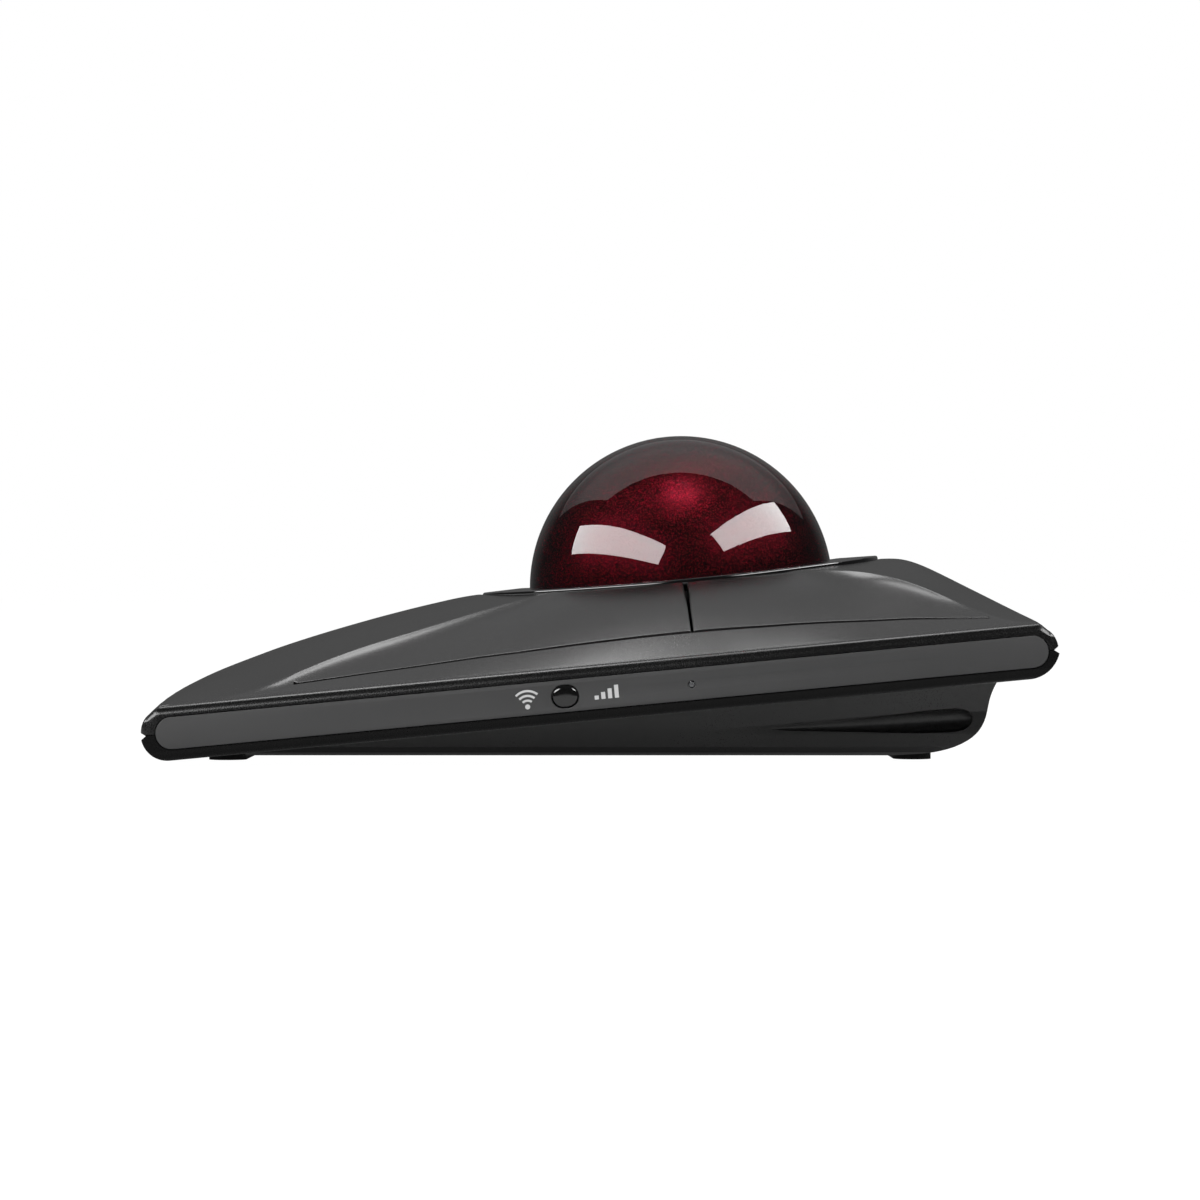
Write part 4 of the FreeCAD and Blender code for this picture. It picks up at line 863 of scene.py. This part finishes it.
def prism(name, polygons, x0=65.985, x1=66.012):
    """Flat printed shapes: closed polygons in (u, w)."""
    verts, faces = [], []
    for poly in polygons:
        k, n = len(verts), len(poly)
        verts += [(x0, a, b) for a, b in poly] + [(x1, a, b) for a, b in poly]
        faces += [(k + i, k + (i + 1) % n, k + n + (i + 1) % n, k + n + i) for i in range(n)]
        faces += [tuple(reversed(range(k, k + n))), tuple(range(k + n, k + 2 * n))]
    V = np.array(verts)
    return mesh(name, row(V[:, 0], V[:, 1], V[:, 2]), faces, INK, "root", 30)


arcs = []
au, aw = -12.15, -1.2
for r in (1.1, 1.88, 2.68):
    a = np.radians(np.linspace(48, 132, 17))
    arcs.append([(au + (r + 0.18) * math.cos(v), aw + (r + 0.18) * math.sin(v)) for v in a] + [(au + (r - 0.18) * math.cos(v), aw + (r - 0.18) * math.sin(v)) for v in a[::-1]])
arcs.append([(au + 0.42 * math.cos(v), aw + 0.05 + 0.42 * math.sin(v)) for v in np.linspace(0, 2 * math.pi, 19)[:-1]])
prism("mark_radio", arcs)
bars = []
for k in range(4):
    u0, top = -0.95 + k * 1.12, -1.0 + 0.65 + 0.5 * k
    bars.append([(u0, -1.0), (u0 + 0.68, -1.0), (u0 + 0.68, top), (u0, top)])
prism("mark_bars", bars)

# PIECES-END

# ---------------------------------------------------------------- studio: floor, light, camera
BALL_AT = Vector((0.0, 0.01519, 0.02983))
floor_mesh = bpy.data.meshes.new("floor")
floor_mesh.from_pydata([(-6, -6, -2e-5), (2, -6, -2e-5), (2, 6, -2e-5), (-6, 6, -2e-5)], [], [(0, 1, 2, 3)])
floor = bpy.data.objects.new("floor", floor_mesh)
scene.collection.objects.link(floor)
fm = bpy.data.materials.new("studio_floor")
fm.use_nodes = True
nt = fm.node_tree
nt.nodes.clear()
out = nt.nodes.new("ShaderNodeOutputMaterial")
path = nt.nodes.new("ShaderNodeLightPath")
mixer = nt.nodes.new("ShaderNodeMixShader")
soft = nt.nodes.new("ShaderNodeBsdfDiffuse")
soft.inputs["Color"].default_value = (0.36, 0.36, 0.36, 1)
add = nt.nodes.new("ShaderNodeAddShader")
pale = nt.nodes.new("ShaderNodeBsdfDiffuse")
pale.inputs["Color"].default_value = (0.05, 0.05, 0.05, 1)
glow = nt.nodes.new("ShaderNodeEmission")
glow.inputs["Strength"].default_value = 1.0
nt.links.new(pale.outputs[0], add.inputs[0])
nt.links.new(glow.outputs[0], add.inputs[1])
nt.links.new(path.outputs["Is Camera Ray"], mixer.inputs[0])
near = nt.nodes.new("ShaderNodeAddShader")
haze = nt.nodes.new("ShaderNodeEmission")
haze.inputs["Strength"].default_value = 0.16
nt.links.new(soft.outputs[0], near.inputs[0])
nt.links.new(haze.outputs[0], near.inputs[1])
nt.links.new(near.outputs[0], mixer.inputs[1])
nt.links.new(add.outputs[0], mixer.inputs[2])
# seen from below the floor is clear, so that the underside can be looked at
facing = nt.nodes.new("ShaderNodeNewGeometry")
glass = nt.nodes.new("ShaderNodeBsdfTransparent")
under = nt.nodes.new("ShaderNodeMixShader")
nt.links.new(facing.outputs["Backfacing"], under.inputs[0])
nt.links.new(mixer.outputs[0], under.inputs[1])
nt.links.new(glass.outputs[0], under.inputs[2])
nt.links.new(under.outputs[0], out.inputs["Surface"])
floor_mesh.materials.append(fm)

world = bpy.data.worlds.new("studio")
scene.world = world
world.use_nodes = True
wn = world.node_tree
wn.nodes.clear()
wout = wn.nodes.new("ShaderNodeOutputWorld")
wpath = wn.nodes.new("ShaderNodeLightPath")
wmix = wn.nodes.new("ShaderNodeMixShader")
dim = wn.nodes.new("ShaderNodeBackground")
dim.inputs["Strength"].default_value = 1.0
# behind the mouse the studio wall grows paler with height; towards the viewer it stays dark
way = wn.nodes.new("ShaderNodeTexCoord")
split = wn.nodes.new("ShaderNodeSeparateXYZ")
wall = wn.nodes.new("ShaderNodeValToRGB")
side_of = wn.nodes.new("ShaderNodeMapRange")
both = wn.nodes.new("ShaderNodeMix")
both.data_type = "RGBA"
wn.links.new(way.outputs["Generated"], split.inputs[0])
wn.links.new(split.outputs["Z"], wall.inputs[0])
ramp = wall.color_ramp.elements
ramp[0].position, ramp[0].color = 0.0, (0.085, 0.085, 0.087, 1)
ramp[1].position, ramp[1].color = 0.5, (0.22, 0.22, 0.225, 1)
for place, level in ((0.08, 0.095), (0.2, 0.13), (0.37, 0.19)):
    ramp.new(place).color = (level, level, level, 1)
for key, v in (("From Min", -0.93), ("From Max", -0.72), ("To Min", 0.0), ("To Max", 1.0)):
    side_of.inputs[key].default_value = v
wn.links.new(split.outputs["X"], side_of.inputs["Value"])
wn.links.new(side_of.outputs["Result"], both.inputs[0])
wn.links.new(wall.outputs[0], both.inputs[6])
both.inputs[7].default_value = (0.04, 0.04, 0.041, 1)
wn.links.new(both.outputs[2], dim.inputs["Color"])
white = wn.nodes.new("ShaderNodeBackground")
white.inputs["Color"].default_value = (1, 1, 1, 1)
wn.links.new(wpath.outputs["Is Camera Ray"], wmix.inputs[0])
wn.links.new(dim.outputs[0], wmix.inputs[1])
wn.links.new(white.outputs[0], wmix.inputs[2])
wn.links.new(wmix.outputs[0], wout.inputs["Surface"])


def panel(name, azimuth, elevation, wide, high, radiance, distance=1.0, roll=0.0):
    """A softbox facing the ball. Azimuth is from +X towards +Y."""
    a, e = math.radians(azimuth), math.radians(elevation)
    d = Vector((math.cos(a) * math.cos(e), math.sin(a) * math.cos(e), math.sin(e)))
    lamp = bpy.data.lights.new(name, "AREA")
    lamp.shape = "RECTANGLE"
    lamp.size, lamp.size_y = wide * distance, high * distance
    lamp.energy = radiance * math.pi * lamp.size * lamp.size_y
    ob = bpy.data.objects.new(name, lamp)
    scene.collection.objects.link(ob)
    ob.location = BALL_AT + d * distance
    ob.rotation_euler = (-d).to_track_quat("-Z", "Y").to_euler()
    if roll:
        ob.rotation_euler.rotate_axis("Z", math.radians(roll))
    return ob


def fade(ob, low, high, edge):
    """Gives a softbox a brightness that changes up its height."""
    lamp = ob.data
    lamp.use_nodes = True
    tree = lamp.node_tree
    em = [n for n in tree.nodes if n.type == "EMISSION"][0]
    geo = tree.nodes.new("ShaderNodeNewGeometry")
    xyz = tree.nodes.new("ShaderNodeSeparateXYZ")
    ramp = tree.nodes.new("ShaderNodeValToRGB")
    tree.links.new(geo.outputs["Parametric"], xyz.inputs[0])
    tree.links.new(xyz.outputs["Y"], ramp.inputs[0])
    e = ramp.color_ramp.elements
    e[0].position, e[0].color = 0.0, (low, low, low, 1)
    e[1].position, e[1].color = 1.0, (high, high, high, 1)
    for place, level in ((0.12, low), (0.25, low + 0.3 * (edge - low)), (0.42, edge)):
        ramp.color_ramp.elements.new(place).color = (level, level, level, 1)
    tree.links.new(ramp.outputs[0], em.inputs["Strength"])


panel("softbox_left", -58.0, 30.5, 1.55, 0.33, 10.5)
panel("softbox_right", 70.5, 40.0, 1.31, 0.317, 10.5)
over = panel("overhead", 178.0, 56.0, 1.9, 1.06, 1.0)
fade(over, 0.20, 0.85, 0.50)
# two small strip lights close over the far side, for the buttons and the cover only
shells = bpy.data.collections.new("satin_parts")
for ob in bpy.data.objects:
    if ob.name.endswith("_button_cap") or ob.name == "top_cover_shell":
        shells.objects.link(ob)
for tag, at, wide, power in (("crease_front", (-0.090, -0.082, 0.348), 0.13, 5.6), ("crease_rear", (-0.090, 0.052, 0.348), 0.08, 4.0)):
    lamp = bpy.data.lights.new(tag, "AREA")
    lamp.shape = "RECTANGLE"
    lamp.size, lamp.size_y = wide, 0.105
    lamp.energy = power * math.pi * lamp.size * lamp.size_y
    ob = bpy.data.objects.new(tag, lamp)
    scene.collection.objects.link(ob)
    ob.location = at
    ob.rotation_euler = (Vector(at) - Vector((0.052, at[1] + 0.01, 0.024))).to_track_quat("Z", "Y").to_euler()
    ob.light_linking.receiver_collection = shells
# a small light that only reaches the flakes inside the clear ball
for tag, az, el, size, power in (("core_glow", 4.0, 80.0, 0.30, 48.0),):
    spot = panel(tag, az, el, size, size, power)
    spot.visible_glossy = spot.visible_diffuse = spot.visible_camera = False


cam = bpy.data.cameras.new("camera")
cam.lens, cam.sensor_width = 123.75, 36.0
cam.clip_start, cam.clip_end = 0.05, 20.0
camera = bpy.data.objects.new("camera", cam)
camera.location = (0.750, 0.00045, 0.0305)
camera.rotation_euler = (math.radians(90.0 - 0.2264), 0.0, math.radians(90.0))
scene.collection.objects.link(camera)
scene.camera = camera
scene.view_settings.view_transform = "Standard"
scene.view_settings.look = "None"
scene.view_settings.exposure = 0.0
scene.view_settings.gamma = 1.0
